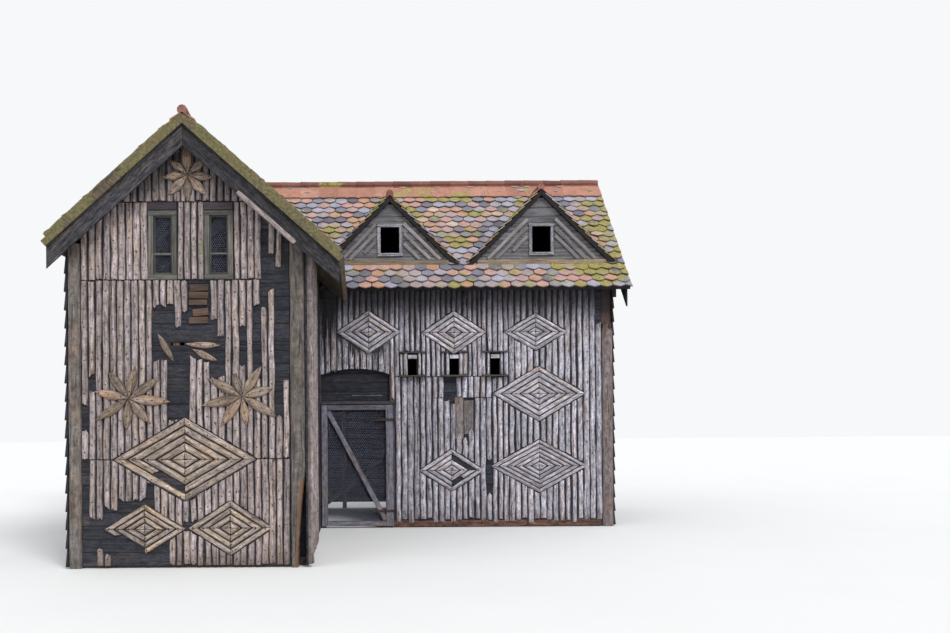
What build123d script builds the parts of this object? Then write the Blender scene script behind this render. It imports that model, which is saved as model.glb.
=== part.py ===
from build123d import *

# Wooden dovecote, timber framed, boarded and clad with split poles.
# A gabled wing stands forward at the left of a longer main range, whose front
# slope carries two gabled dormers. Millimetres, +Z up, +Y towards the back.
# The origin is on the ground, in the middle of the roof's outline.

import os
from math import atan2, cos, hypot, pi, radians, sin, tan

os.makedirs("parts", exist_ok=True)

# Plan
wing_width = 2830
wing_length = 3930
main_front_length = 4735
main_depth = 3400

# Roof
main_pitch = 46
wing_pitch = 41.7
dormer_pitch = 45
main_eave_height = 3840
wing_ridge_rise = 1474
wing_ridge_inset = 1430
roof_thickness = 80
dormer_roof_thickness = 60
eave_overhang = 300
wing_verge_overhang = 300
wing_right_overhang = 469
left_overhang = 216
right_overhang = 218
rafter_depth = 90
rafter_width = 60
rafter_notch = 25
wing_inner_rafter = 560
ridge_board_width = 25
ridge_board_depth = 150
bargeboard_depth = 190
bargeboard_width = 25
bargeboard_setback = 40
ridge_tile_wing = 190
ridge_tile_thickness = 16
ridge_roll_radius = 62
ridge_roll_lift = 25
ridge_roll_faces = 10

# Timber frame and boards
post_left_size = 160
post_size = 190
post_proud = 30
corner_post_face = 180
sill_size = 100
plate_depth = 100
stud_depth = 100
stud_width = 80
front_board = 22
left_side_board = 35
right_side_board = 22
board_joint = 3
board_foot = 20
loft_floor_height = 2300
loft_board = 25
joist_depth = 110
joist_width = 70
joist_pitch = 640
ledger_depth = 110
ledger_width = 50
back_stud_pitch = 990
front_stud_places = (1820, 2480, 3500)
end_stud_shares = (1 / 3, 2 / 3)
wing_stud_shares = (0.28, 0.52, 0.76)
back_rafter_bays = 11
wing_rafter_bays = 5

# Wing windows
window_width = 216
window_height = 700
window_sill_drop = 350
window_axis_offset = 45
window_half_spacing = 334
window_frame_face = 62
window_frame_proud = 30
lintel_height = 95
lintel_proud = 45
mesh_thickness = 4
mesh_setback = 6

# Dormers
left_dormer_centre = 1160
left_dormer_half = 1110
right_dormer_centre = 3615
right_dormer_half = 1200
dormer_setback = 90
dormer_board = 22
dormer_verge = 60
dormer_window_width = 300
dormer_window_height = 420
dormer_window_rise = 195
dormer_frame_face = 52
dormer_frame_proud = 26
dormer_sill_height = 75
dormer_sill_proud = 45

# Doorway and door
door_height = 1950
door_foot = 30
door_left_gap = 32
door_right_edge = 1190
door_thickness = 40
door_gap = 5
door_post = 100
door_post_reach = 30
door_head_gap = 8
door_head_height = 50
door_head_proud = 40
door_left_stile = 98
door_right_stile = 125
door_top_rail = 82
door_bottom_rail = 84
door_brace_width = 78
door_brace_thickness = 30
hinge_axis_out = 60
hinge_axis_side = 10
hinge_pin_radius = 6
hinge_eye_radius = 10.5
hinge_play = 0.3
hinge_height = 60
hinge_strap_length = 320
hinge_strap_height = 40
hinge_strap_thickness = 6
hinge_inset = 240
hinge_hook_drop = 17
hinge_hook_shank = 12
hinge_collar_radius = 9
arch_left = 25
arch_right = 1138
arch_spring_height = 2467
arch_rise = 95
arch_panel_setback = 60
arch_panel_thickness = 20

# Pigeon holes
hole_width = 140
hole_height = 266
hole_foot = 2449
hole_centres = (1505, 2177, 2837)
hole_block_foot = 2715
hole_block_height = 65
hole_cap_foot = 2815
hole_cap_thickness = 14
hole_cap_reach = 62
ledge_length = 430
ledge_reach = 120
ledge_thickness = 22

# Split-pole cladding. Places on a front wall are measured from the wall's inner
# corner, where the wing meets the main range, and from the ground.
wing_pole_pitch = 86
main_pole_pitch = 97
narrow_pole_pitch = 80
pole_joint = 8
pole_proud = 38
pole_faces = 4
pole_foot = 30
butt_joint = 6
shortest_pole = 60
wing_butt_height = 1290
main_butt_height = 2080
main_butt_start = 1815
main_butt_end = 2783
side_pole_reach = 2200
corner_pole_radius = 40

# Stretches of the wing front where the poles are gone: left, right, foot and top
wing_lost = (
    (-2670, -2585, 0, 1290),
    (-2585, -2500, 0, 570),
    (-2500, -2410, 250, 570),
    (-2410, -2325, 180, 690),
    (-2325, -2240, 0, 690),
    (-2240, -1900, 0, 780),
    (-1900, -1815, 640, 1014),
    (-1900, -1640, 0, 340),
    (-1440, -1250, 440, 545),
    (-2660, -2585, 1664, 1926),
    (-2585, -2500, 2128, 2264),
    (-1810, -1640, 2493, 3090),
    (-1640, -1560, 1767, 3125),
    (-1560, -1475, 1767, 2840),
    (-1475, -1390, 1767, 3022),
    (-1390, -1300, 2548, 3428),
    (-1300, -1220, 2495, 3428),
    (-1220, -1130, 2457, 3428),
    (-1130, -1045, 2290, 2925),
    (-1045, -960, 2290, 2740),
    (-790, -700, 2420, 2853),
    (-620, -535, 2250, 3100),
    (-535, -450, 3130, 4300),
    (-450, -362, 3336, 3720),
    (-362, -276, 1826, 3557),
    (-276, -190, 2242, 4300),
)

# Stretches of the main front where the poles are gone
main_lost = (
    (2700, 2810, 560, 1060),
    (2010, 2100, 2060, 2400),
    (2100, 2190, 1990, 2400),
    (4460, 4560, 3300, 3900),
)

# Diamonds of mitred sticks: centre, half width, half height and rings, with the
# sticks that are broken as ring, side from the upper right and share that is left
wing_diamonds_measured = (
    (-1440, 1290, 860, 503, 5, {(1, 2): 0.42}),
    (-1922, 464, 488, 300, 4, {(0, 2): 0.25}),
    (-904, 472, 508, 330, 4, {}),
)
eave_diamonds_measured = (
    (800, 689, 528, 352, 4, {}),
    (2177, 704, 531, 352, 4, {}),
    (3493, 703, 520, 308, 4, {}),
)
main_diamonds_measured = (
    (3540, 2141, 756, 450, 5, {}),
    (3541, 976, 790, 432, 6, {}),
    (2127, 916, 532, 346, 4, {(1, 0): 0, (1, 3): 0.5}),
)
stick_joint = 5
stick_proud = 36
stick_taper = 28

# Eight-petalled stars over the poles: centre, and petal tips measured from it.
# The first one's height is measured down from the ridge.
apex_star = (-1380, 644)
apex_tips = (
    (-12, 379),
    (202, 178),
    (292, -32),
    (214, -240),
    (-6, -324),
    (-226, -240),
    (-292, -32),
    (-214, 178),
)
left_star = (-2099, 2017)
left_tips = ((76, 388), (374, 250), (493, -40), (231, -279), (-31, -362), (-393, -255), (-404, 90), (-233, 317))
right_star = (-753, 2032)
right_tips = ((-106, 276), (230, 360), (367, 98), (404, -236), (51, -343), (-258, -350), (-479, -105), (-404, 217))
petal_half_width = 54
petal_proud = 26
petal_taper = 25
petal_wedge = 18
# Petals left of the fallen middle star, on the bare boards: root and tip
loose_petals = (
    ((-1565, 2459), (-1761, 2790)),
    ((-1428, 2664), (-1005, 2643)),
    ((-1350, 2600), (-1050, 2462)),
)
loose_petal_half_width = 38

# Decay: the wing's right post is wasted at its foot, the main corner post at its head
post_decay_height = 1180
post_decay_foot = 95
post_decay_bow = 62
corner_decay_height = 560
corner_decay_depth = 90

# Back wall
back_gap_height = 110
back_gap_start = -600
back_gap_end = 2100
brace_width = 90
brace_thickness = 45
brace_start = -80
brace_run = 1250
brace_rise = 900

# Levels and faces that follow from the sizes above
reach_x = left_overhang + wing_width + main_front_length + right_overhang
reach_y = wing_verge_overhang + wing_length + main_depth + eave_overhang
x_left = left_overhang - reach_x / 2
x_corner = x_left + wing_width
x_right = x_corner + main_front_length
x_ridge = x_left + wing_ridge_inset
x_verge_left = x_left - left_overhang
x_verge_right = x_right + right_overhang
x_wing_eave = x_corner + wing_right_overhang
y_front = wing_verge_overhang - reach_y / 2
y_verge = y_front - wing_verge_overhang
y_main = y_front + wing_length
y_back = y_main + main_depth
y_ridge = y_main + main_depth / 2
y_eave = y_main - eave_overhang
y_back_eave = y_back + eave_overhang
y_frame = y_main + front_board
y_frame_inside = y_frame + stud_depth
y_wing_frame = y_front + front_board
main_slope = tan(radians(main_pitch))
wing_slope = tan(radians(wing_pitch))
dormer_slope = tan(radians(dormer_pitch))
main_plumb = roof_thickness / cos(radians(main_pitch))
wing_plumb = roof_thickness / cos(radians(wing_pitch))
dormer_plumb = dormer_roof_thickness / cos(radians(dormer_pitch))
main_rafter_plumb = rafter_depth / cos(radians(main_pitch))
wing_rafter_plumb = rafter_depth / cos(radians(wing_pitch))
barge_plumb = bargeboard_depth / cos(radians(wing_pitch))
main_barge_plumb = bargeboard_depth / cos(radians(main_pitch))
main_ridge_height = main_eave_height + main_slope * (y_ridge - y_eave)
wing_ridge_height = main_eave_height + wing_ridge_rise
window_sill_height = main_eave_height - window_sill_drop


def main_top(y):
    """Height of the main roof's upper face at a place across its ridge."""
    return main_ridge_height - main_slope * abs(y - y_ridge)


def main_under(y):
    """Height of the main roof's lower face."""
    return main_top(y) - main_plumb


def wing_top(x):
    """Height of the wing roof's upper face at a place across its ridge."""
    return wing_ridge_height - wing_slope * abs(x - x_ridge)


def wing_under(x):
    """Height of the wing roof's lower face."""
    return wing_top(x) - wing_plumb


def across(y):
    """Upright plane that faces the front, at a depth y."""
    return Plane.XZ.offset(-y)


def along(x):
    """Upright plane that faces the right, at a place x."""
    return Plane.YZ.offset(x)


def block(low, high, mode=Mode.ADD):
    """Add one squared timber between two opposite corners."""
    sizes = [end - start for start, end in zip(low, high)]
    with Locations(low):
        Box(*sizes, align=(Align.MIN, Align.MIN, Align.MIN), mode=mode)


def panel(plane, points, thickness, mode=Mode.ADD):
    """Add one flat piece with these corners, thick along the plane's normal."""
    with BuildSketch(plane) as outline:
        with BuildLine():
            Polyline(*points, close=True)
        make_face()
    extrude(outline.sketch, amount=thickness, mode=mode)


def save(piece, name):
    """Label a finished piece and write its file."""
    piece.part.label = name
    export_step(piece.part, f"parts/{name}.step")


plate_top_main = main_under(y_frame) - main_rafter_plumb + rafter_notch
plate_top_wing = wing_under(x_corner) - wing_rafter_plumb + rafter_notch
plate_foot_main = plate_top_main - plate_depth
plate_foot_wing = plate_top_wing - plate_depth
front_board_top = plate_top_main - rafter_notch - front_board * main_slope - board_joint
wing_post_back = y_front - post_proud + post_size
left_post_back = y_front - post_proud + post_left_size
entry_post_front = y_main - hinge_axis_out - board_joint
door_top = door_foot + door_height
door_head_foot = door_top + door_head_gap
door_head_top = door_head_foot + door_head_height
door_right = x_corner + door_right_edge
door_left = x_corner + door_left_gap
door_post_right = door_right + door_post_reach
door_jamb = door_post_right - door_post
window_centre = x_ridge + window_axis_offset
window_centres = (window_centre - window_half_spacing, window_centre + window_half_spacing)
window_head_height = window_sill_height + window_height
main_roof_plane = Plane(
    origin=(0, y_eave, main_eave_height),
    x_dir=(1, 0, 0),
    z_dir=(0, -sin(radians(main_pitch)), cos(radians(main_pitch))),
)
dormers = (
    (x_corner + left_dormer_centre, left_dormer_half),
    (x_corner + right_dormer_centre, right_dormer_half),
)
y_dormer = y_main + dormer_setback
dormer_base = main_top(y_dormer)


# Corner posts: wing front left and right, inner corner, main front right, back pair
with BuildPart() as corner_posts:
    block((x_left, y_front - post_proud, 0), (x_left + post_left_size, left_post_back, plate_top_wing))
    block((x_corner - post_size, y_front - post_proud, 0), (x_corner, wing_post_back, plate_top_wing))
    block((x_corner - post_size, entry_post_front, 0), (x_corner, y_frame_inside, plate_foot_main))
    block((x_right - corner_post_face, y_main - post_proud, 0), (x_right, y_frame_inside, plate_foot_main))
    block((x_left, y_main, 0), (x_left + post_left_size, y_frame_inside, plate_foot_main))
    block((x_left, y_back - post_size, 0), (x_left + post_size, y_back, plate_foot_main))
    block((x_right - post_size, y_back - post_size, 0), (x_right, y_back, plate_foot_main))
    # the wing's right post is wasted to a tongue at its foot
    with BuildSketch(across(wing_post_back)) as decay:
        with BuildLine():
            foot = (x_corner - post_decay_foot, 0)
            bow = (x_corner - post_decay_bow, post_decay_height / 2)
            head = (x_corner, post_decay_height)
            ThreePointArc(foot, bow, head)
            Polyline(head, (x_corner, 0), foot)
        make_face()
    extrude(decay.sketch, amount=post_size, mode=Mode.SUBTRACT)
    # the main front's corner post has lost the face of its head
    low = (x_right - corner_post_face, y_main - post_proud, plate_foot_main - corner_decay_height)
    high = (x_right, y_main - post_proud + corner_decay_depth, plate_foot_main)
    block(low, high, mode=Mode.SUBTRACT)
save(corner_posts, "corner_posts")

# Ground sills between the posts, rotted away over part of the back
with BuildPart() as ground_sills:
    wing_sill_back = y_wing_frame + sill_size
    block((x_left + post_left_size, y_wing_frame, 0), (x_corner - post_size, wing_sill_back, sill_size))
    block((x_left, left_post_back, 0), (x_left + sill_size, y_main, sill_size))
    block((x_corner - sill_size, wing_post_back, 0), (x_corner, entry_post_front, sill_size))
    block((door_post_right, y_frame, 0), (x_right - corner_post_face, y_frame_inside, sill_size))
    block((x_right - sill_size, y_frame_inside, 0), (x_right, y_back - post_size, sill_size))
    block((x_left, y_frame_inside, 0), (x_left + sill_size, y_back - post_size, sill_size))
    block((x_left + post_size, y_back - sill_size, 0), (x_corner + back_gap_start, y_back, sill_size))
    block((x_corner + back_gap_end, y_back - sill_size, 0), (x_right - post_size, y_back, sill_size))
save(ground_sills, "ground_sills")

# Studs between the sills and the plates
with BuildPart() as wall_studs:
    # back wall
    back_stud_xs = [x_corner + back_gap_start - stud_width + back_stud_pitch * step for step in range(-1, 6)]
    for stud_x in back_stud_xs:
        hangs = back_gap_start <= stud_x - x_corner <= back_gap_end
        foot = 0 if hangs else sill_size
        block((stud_x, y_back - stud_depth, foot), (stud_x + stud_width, y_back, plate_foot_main))
    # end walls of the main range
    for share in end_stud_shares:
        stud_y = y_main + share * main_depth - stud_width / 2
        block((x_right - stud_depth, stud_y, sill_size), (x_right, stud_y + stud_width, plate_foot_main))
        block((x_left, stud_y, sill_size), (x_left + stud_depth, stud_y + stud_width, plate_foot_main))
    # side walls of the wing
    for share in wing_stud_shares:
        stud_y = y_front + share * wing_length
        block((x_left, stud_y, sill_size), (x_left + stud_depth, stud_y + stud_width, plate_foot_wing))
        block((x_corner - stud_depth, stud_y, sill_size), (x_corner, stud_y + stud_width, plate_foot_wing))
    # front walls
    for centre in window_centres:
        for side in (-1, 1):
            edge = centre + side * window_width / 2
            low_x = min(edge, edge + side * stud_width)
            top = wing_under(low_x if low_x < x_ridge else low_x + stud_width) - wing_rafter_plumb - board_joint
            block((low_x, y_wing_frame, sill_size), (low_x + stud_width, y_wing_frame + stud_depth, top))
    for place in front_stud_places:
        stud_x = x_corner + place
        block((stud_x, y_frame, sill_size), (stud_x + stud_width, y_frame_inside, plate_foot_main))
    block((x_corner, y_main, door_head_top), (x_corner + arch_left, y_frame_inside, plate_foot_main))
    block((x_corner + arch_right, y_main, door_head_top), (door_post_right, y_frame_inside, plate_foot_main))
save(wall_studs, "wall_studs")

# Plates on the posts, and the tie beams of the two end walls
with BuildPart() as wall_plates:
    block((x_left, y_frame, plate_foot_main), (x_right, y_frame + plate_depth, plate_top_main))
    block((x_left, y_back - plate_depth, plate_foot_main), (x_right, y_back, plate_top_main))
    block((x_left, left_post_back, plate_foot_wing), (x_left + plate_depth, y_main, plate_top_wing))
    block((x_corner - plate_depth, wing_post_back, plate_foot_wing), (x_corner, entry_post_front, plate_top_wing))
save(wall_plates, "wall_plates")

with BuildPart() as tie_beams:
    for tie_x in (x_left, x_right - plate_depth):
        low = (tie_x, y_frame + plate_depth, plate_foot_main)
        block(low, (tie_x + plate_depth, y_back - plate_depth, plate_top_main))
save(tie_beams, "tie_beams")

# Loft: ledgers along the walls, joists on them, and the boarded floor
joist_top = loft_floor_height - loft_board
joist_foot = joist_top - joist_depth
ledger_foot = joist_foot - ledger_depth
loft_edge = post_size + board_joint
with BuildPart() as loft_ledgers:
    high = (x_right - post_size, y_frame_inside + ledger_width, joist_foot)
    block((x_left + sill_size, y_frame_inside, ledger_foot), high)
    low = (x_left + post_size, y_back - stud_depth - ledger_width, ledger_foot)
    block(low, (x_right - post_size, y_back - stud_depth, joist_foot))
    low = (x_left + stud_depth, left_post_back, ledger_foot)
    block(low, (x_left + stud_depth + ledger_width, y_main, joist_foot))
    low = (x_corner - stud_depth - ledger_width, wing_post_back, ledger_foot)
    block(low, (x_corner - stud_depth, entry_post_front, joist_foot))
save(loft_ledgers, "loft_ledgers")

with BuildPart() as loft_joists:
    main_joists = int((x_right - x_left - 2 * loft_edge - joist_width) // joist_pitch)
    for step in range(main_joists + 1):
        joist_x = x_left + loft_edge + step * joist_pitch
        block((joist_x, y_frame_inside, joist_foot), (joist_x + joist_width, y_back - stud_depth, joist_top))
    wing_joists = int((wing_length - 2 * loft_edge) // joist_pitch)
    for step in range(wing_joists + 1):
        joist_y = y_front + loft_edge + step * joist_pitch
        block((x_left + stud_depth, joist_y, joist_foot), (x_corner - stud_depth, joist_y + joist_width, joist_top))
save(loft_joists, "loft_joists")

with BuildPart() as loft_floor:
    low = (x_left + loft_edge, y_frame_inside + board_joint, joist_top)
    block(low, (x_right - loft_edge, y_back - stud_depth - board_joint, loft_floor_height))
    low = (x_left + loft_edge, wing_post_back + board_joint, joist_top)
    block(low, (x_corner - loft_edge, y_frame_inside, loft_floor_height))
save(loft_floor, "loft_floor")

# Wing front: board fields below, beside and above the windows
field_left = x_left + post_left_size
field_right = x_corner - post_size
band_foot = window_sill_height - board_joint
with BuildPart() as wing_front_boards:
    face = across(y_wing_frame)
    block((field_left, y_front, board_foot), (field_right, y_wing_frame, band_foot))
    left_hole, right_hole = window_centres
    edges = (
        (field_left, left_hole - window_width / 2),
        (left_hole + window_width / 2, right_hole - window_width / 2),
        (right_hole + window_width / 2, field_right),
    )
    for low_x, high_x in edges:
        outer_x = low_x if low_x < x_ridge and high_x < x_ridge else high_x
        inner_x = high_x if outer_x == low_x else low_x
        outer_top = min(wing_under(outer_x), window_head_height)
        bend = (wing_under(x_ridge) - window_head_height) / wing_slope
        bend_x = x_ridge + bend if outer_x > x_ridge else x_ridge - bend
        points = [(inner_x, window_sill_height), (outer_x, window_sill_height), (outer_x, outer_top)]
        if outer_top < window_head_height:
            points.append((bend_x, window_head_height))
        points.append((inner_x, window_head_height))
        panel(face, points, front_board)
    gable_foot = window_head_height + board_joint
    half = (wing_under(x_ridge) - gable_foot) / wing_slope
    points = [(x_ridge - half, gable_foot), (x_ridge + half, gable_foot), (x_ridge, wing_under(x_ridge))]
    panel(face, points, front_board)
save(wing_front_boards, "wing_front_boards")

# Side boards of the wing, nailed over the posts
side_face_left = x_left - left_side_board
side_face_right = x_corner + right_side_board
side_top_left = wing_under(side_face_left) - board_joint
side_top_right = wing_under(side_face_right) - board_joint
with BuildPart() as wing_left_boards:
    block((side_face_left, y_front - post_proud, board_foot), (x_left, y_main - board_joint, side_top_left))
save(wing_left_boards, "wing_left_boards")

with BuildPart() as wing_right_boards:
    block((x_corner, y_front - post_proud, board_foot), (side_face_right, entry_post_front, side_top_right))
save(wing_right_boards, "wing_right_boards")


def gable_outline(foot):
    """Corners of an end wall of the main range, under the roof's lower face."""
    return [
        (y_main, foot),
        (y_back, foot),
        (y_back, main_under(y_back)),
        (y_ridge, main_under(y_ridge)),
        (y_main, main_under(y_main)),
    ]


with BuildPart() as left_gable_boards:
    panel(along(side_face_left), gable_outline(board_foot), left_side_board)
save(left_gable_boards, "left_gable_boards")

with BuildPart() as right_gable_boards:
    panel(along(x_right), gable_outline(board_foot), left_side_board)
save(right_gable_boards, "right_gable_boards")

# Back boards, open at the foot where the lowest board is gone
with BuildPart() as back_boards:
    back_face = y_back + front_board
    back_top = main_under(back_face) - main_rafter_plumb - board_joint
    block((x_left, y_back, board_foot), (x_corner + back_gap_start, back_face, back_top))
    low = (x_corner + back_gap_start + board_joint, y_back, back_gap_height)
    block(low, (x_corner + back_gap_end, back_face, back_top))
    block((x_corner + back_gap_end + board_joint, y_back, board_foot), (x_right, back_face, back_top))
save(back_boards, "back_boards")

# Brace on the inner face of the back studs
with BuildPart() as back_brace:
    brace_x = x_corner + brace_start
    points = [
        (brace_x, sill_size),
        (brace_x + brace_width, sill_size - brace_width / 2),
        (brace_x + brace_run, brace_rise),
        (brace_x + brace_run - brace_width, brace_rise + brace_width / 2),
    ]
    panel(across(y_back - stud_depth), points, brace_thickness)
save(back_brace, "back_brace")

# Main front: board fields round the pigeon holes
hole_head = hole_foot + hole_height
with BuildPart() as main_front_boards:
    field_start = door_post_right + board_joint
    field_end = x_right - corner_post_face
    block((field_start, y_main, board_foot), (field_end, y_frame, hole_foot - board_joint))
    starts = [field_start] + [x_corner + centre + hole_width / 2 for centre in hole_centres]
    ends = [x_corner + centre - hole_width / 2 for centre in hole_centres] + [field_end]
    for low_x, high_x in zip(starts, ends):
        block((low_x, y_main, hole_foot), (high_x, y_frame, hole_head))
    block((field_start, y_main, hole_head + board_joint), (field_end, y_frame, front_board_top))
save(main_front_boards, "main_front_boards")

# Over the doorway: boards with an arched foot, and the panel set back in the arch
with BuildPart() as arch_boards:
    arch_middle = (arch_left + arch_right) / 2
    with BuildSketch(across(y_frame)):
        with BuildLine():
            left_foot = (x_corner + arch_left, arch_spring_height)
            crown = (x_corner + arch_middle, arch_spring_height + arch_rise)
            right_foot = (x_corner + arch_right, arch_spring_height)
            ThreePointArc(left_foot, crown, right_foot)
            Polyline(
                right_foot,
                (x_corner + arch_right, front_board_top),
                (x_corner + arch_left, front_board_top),
                left_foot,
            )
        make_face()
    extrude(amount=front_board)
save(arch_boards, "arch_boards")

with BuildPart() as arch_panel:
    panel_y = y_main + arch_panel_setback
    low = (x_corner + arch_left, panel_y, door_head_top)
    high = (x_corner + arch_right, panel_y + arch_panel_thickness, arch_spring_height + arch_rise + board_joint)
    block(low, high)
save(arch_panel, "arch_panel")

# Roof slopes. The main front slope is opened under the wing roof and under the
# dormers, which lie on it.
with BuildPart() as main_roof_front:
    cut_in = roof_thickness * sin(radians(main_pitch))
    cut_down = roof_thickness * cos(radians(main_pitch))
    outline = [
        (y_eave, main_eave_height),
        (y_ridge, main_ridge_height),
        (y_ridge, main_under(y_ridge)),
        (y_eave + cut_in, main_eave_height - cut_down),
    ]
    panel(along(x_verge_left), outline, reach_x)
    wall_left = side_face_left - board_joint
    wall_right = side_face_right + board_joint
    opening = [
        (wall_left, ledger_foot),
        (wall_right, ledger_foot),
        (wall_right, wing_under(wall_right)),
        (x_ridge, wing_under(x_ridge)),
        (wall_left, wing_under(wall_left)),
    ]
    panel(across(y_ridge), opening, y_ridge - y_eave + roof_thickness, mode=Mode.SUBTRACT)
    for centre, half in dormers:
        inner_half = half - dormer_plumb / dormer_slope
        opening = [
            (centre - inner_half, dormer_base),
            (centre + inner_half, dormer_base),
            (centre, dormer_base + inner_half * dormer_slope),
        ]
        panel(across(y_ridge), opening, y_ridge - y_dormer, mode=Mode.SUBTRACT)
save(main_roof_front, "main_roof_front")

with BuildPart() as main_roof_back:
    outline = [
        (y_back_eave, main_eave_height),
        (y_ridge, main_ridge_height),
        (y_ridge, main_under(y_ridge)),
        (y_back_eave - cut_in, main_eave_height - cut_down),
    ]
    panel(along(x_verge_left), outline, reach_x)
save(main_roof_back, "main_roof_back")


def wing_slope_outline(eave_x):
    """Section of one slope of the wing roof, from its eave to the ridge."""
    side = 1 if eave_x > x_ridge else -1
    foot_in = roof_thickness * sin(radians(wing_pitch)) * side
    foot_down = roof_thickness * cos(radians(wing_pitch))
    return [
        (eave_x, wing_top(eave_x)),
        (x_ridge, wing_ridge_height),
        (x_ridge, wing_under(x_ridge)),
        (eave_x - foot_in, wing_top(eave_x) - foot_down),
    ]


with BuildPart() as wing_roof_left:
    panel(across(y_ridge), wing_slope_outline(x_verge_left), y_ridge - y_verge)
    split(bisect_by=main_roof_plane, keep=Keep.TOP)
save(wing_roof_left, "wing_roof_left")

with BuildPart() as wing_roof_right:
    panel(across(y_ridge), wing_slope_outline(x_wing_eave), y_ridge - y_verge)
    split(bisect_by=main_roof_plane, keep=Keep.TOP)
save(wing_roof_right, "wing_roof_right")

# Ridge boards, and rafters notched over the plates
half_board = ridge_board_width / 2
with BuildPart() as main_ridge_board:
    top = main_under(y_ridge + half_board)
    block((x_left, y_ridge - half_board, top - ridge_board_depth), (x_right, y_ridge + half_board, top))
save(main_ridge_board, "main_ridge_board")

with BuildPart() as wing_ridge_board:
    top = wing_under(x_ridge + half_board)
    block((x_ridge - half_board, y_wing_frame, top - ridge_board_depth), (x_ridge + half_board, y_ridge, top))
    split(bisect_by=main_roof_plane, keep=Keep.TOP)
save(wing_ridge_board, "wing_ridge_board")


def main_rafter(low_x, side, foot):
    """One rafter of the main range, side -1 at the front and 1 at the back."""
    tip = y_ridge + side * half_board
    outline = [
        (foot, main_under(foot)),
        (tip, main_under(tip)),
        (tip, main_under(tip) - main_rafter_plumb),
        (foot, main_under(foot) - main_rafter_plumb),
    ]
    panel(along(low_x), outline, rafter_width)


with BuildPart() as main_front_rafters:
    valley = (left_dormer_centre + left_dormer_half + right_dormer_centre - right_dormer_half) / 2
    between_dormers = x_corner + valley
    for low_x in (x_left, x_ridge - wing_inner_rafter, x_ridge + wing_inner_rafter - rafter_width):
        main_rafter(low_x, -1, y_frame)
    for low_x in (wall_right, between_dormers - rafter_width / 2, x_right - rafter_width):
        main_rafter(low_x, -1, y_eave + cut_in + board_joint)
    block((x_left, y_frame, plate_foot_main), (x_right, y_frame + plate_depth, plate_top_main), mode=Mode.SUBTRACT)
save(main_front_rafters, "main_front_rafters")

with BuildPart() as main_back_rafters:
    for step in range(back_rafter_bays + 1):
        low_x = x_left + step * (x_right - x_left - rafter_width) / back_rafter_bays
        main_rafter(low_x, 1, y_back_eave - cut_in - board_joint)
    block((x_left, y_back - plate_depth, plate_foot_main), (x_right, y_back, plate_top_main), mode=Mode.SUBTRACT)
save(main_back_rafters, "main_back_rafters")


def wing_rafter(low_y, side):
    """One rafter of the wing, side -1 at the left and 1 at the right."""
    tip = x_ridge + side * half_board
    foot = x_left if side < 0 else x_corner
    outline = [
        (foot, wing_under(foot)),
        (tip, wing_under(tip)),
        (tip, wing_under(tip) - wing_rafter_plumb),
        (foot, wing_under(foot) - wing_rafter_plumb),
    ]
    panel(across(low_y), outline, rafter_width)


with BuildPart() as wing_rafters:
    first_y = y_wing_frame + stud_depth + rafter_width + board_joint
    last_y = y_eave - rafter_width
    for step in range(wing_rafter_bays + 1):
        for side in (-1, 1):
            wing_rafter(first_y + step * (last_y - first_y) / wing_rafter_bays, side)
    for low_x in (x_left, x_corner - plate_depth):
        low = (low_x, y_front - post_proud, plate_foot_wing)
        block(low, (low_x + plate_depth, y_main, plate_top_wing), mode=Mode.SUBTRACT)
save(wing_rafters, "wing_rafters")

# Bargeboards under the verges
with BuildPart() as wing_bargeboards:
    for side, eave_x in ((-1, x_verge_left), (1, x_wing_eave)):
        tip = x_ridge + side * board_joint / 2
        foot = eave_x - side * roof_thickness * sin(radians(wing_pitch))
        outline = [
            (foot, wing_under(foot)),
            (tip, wing_under(tip)),
            (tip, wing_under(tip) - barge_plumb),
            (foot, wing_under(foot) - barge_plumb),
        ]
        panel(across(y_verge + bargeboard_setback + bargeboard_width), outline, bargeboard_width)
save(wing_bargeboards, "wing_bargeboards")

with BuildPart() as main_bargeboards:
    for low_x in (x_verge_left + bargeboard_setback, x_verge_right - bargeboard_setback - bargeboard_width):
        for side in (-1, 1):
            tip = y_ridge + side * board_joint / 2
            foot = y_ridge + side * (y_ridge - y_eave - cut_in)
            outline = [
                (foot, main_under(foot)),
                (tip, main_under(tip)),
                (tip, main_under(tip) - main_barge_plumb),
                (foot, main_under(foot) - main_barge_plumb),
            ]
            panel(along(low_x), outline, bargeboard_width)
save(main_bargeboards, "main_bargeboards")


def ridge_cap(plane, centre, height, slope, length):
    """Ridge tiling: two wings laid on the slopes and a roll along the top."""
    pitch = cos(radians(slope))
    run = ridge_tile_wing * pitch
    drop = run * tan(radians(slope))
    rise = ridge_tile_thickness / pitch
    with BuildSketch(plane) as section:
        with BuildLine():
            Polyline(
                (centre - run, height - drop),
                (centre, height),
                (centre + run, height - drop),
                (centre + run, height - drop + rise),
                (centre, height + rise),
                (centre - run, height - drop + rise),
                close=True,
            )
        make_face()
        with Locations((centre, height + rise + ridge_roll_lift)):
            RegularPolygon(ridge_roll_radius, ridge_roll_faces)
        with BuildLine():
            slope_line = [(centre - run, height - drop), (centre, height), (centre + run, height - drop)]
            Polyline(*slope_line, close=True)
        make_face(mode=Mode.SUBTRACT)
    extrude(section.sketch, amount=length)


with BuildPart() as main_ridge_tiles:
    ridge_cap(along(x_verge_left), y_ridge, main_ridge_height, main_pitch, reach_x)
save(main_ridge_tiles, "main_ridge_tiles")

with BuildPart() as wing_ridge_tiles:
    ridge_cap(across(y_ridge), x_ridge, wing_ridge_height, wing_pitch, y_ridge - y_verge)
    split(bisect_by=main_roof_plane, keep=Keep.TOP)
save(wing_ridge_tiles, "wing_ridge_tiles")


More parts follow.
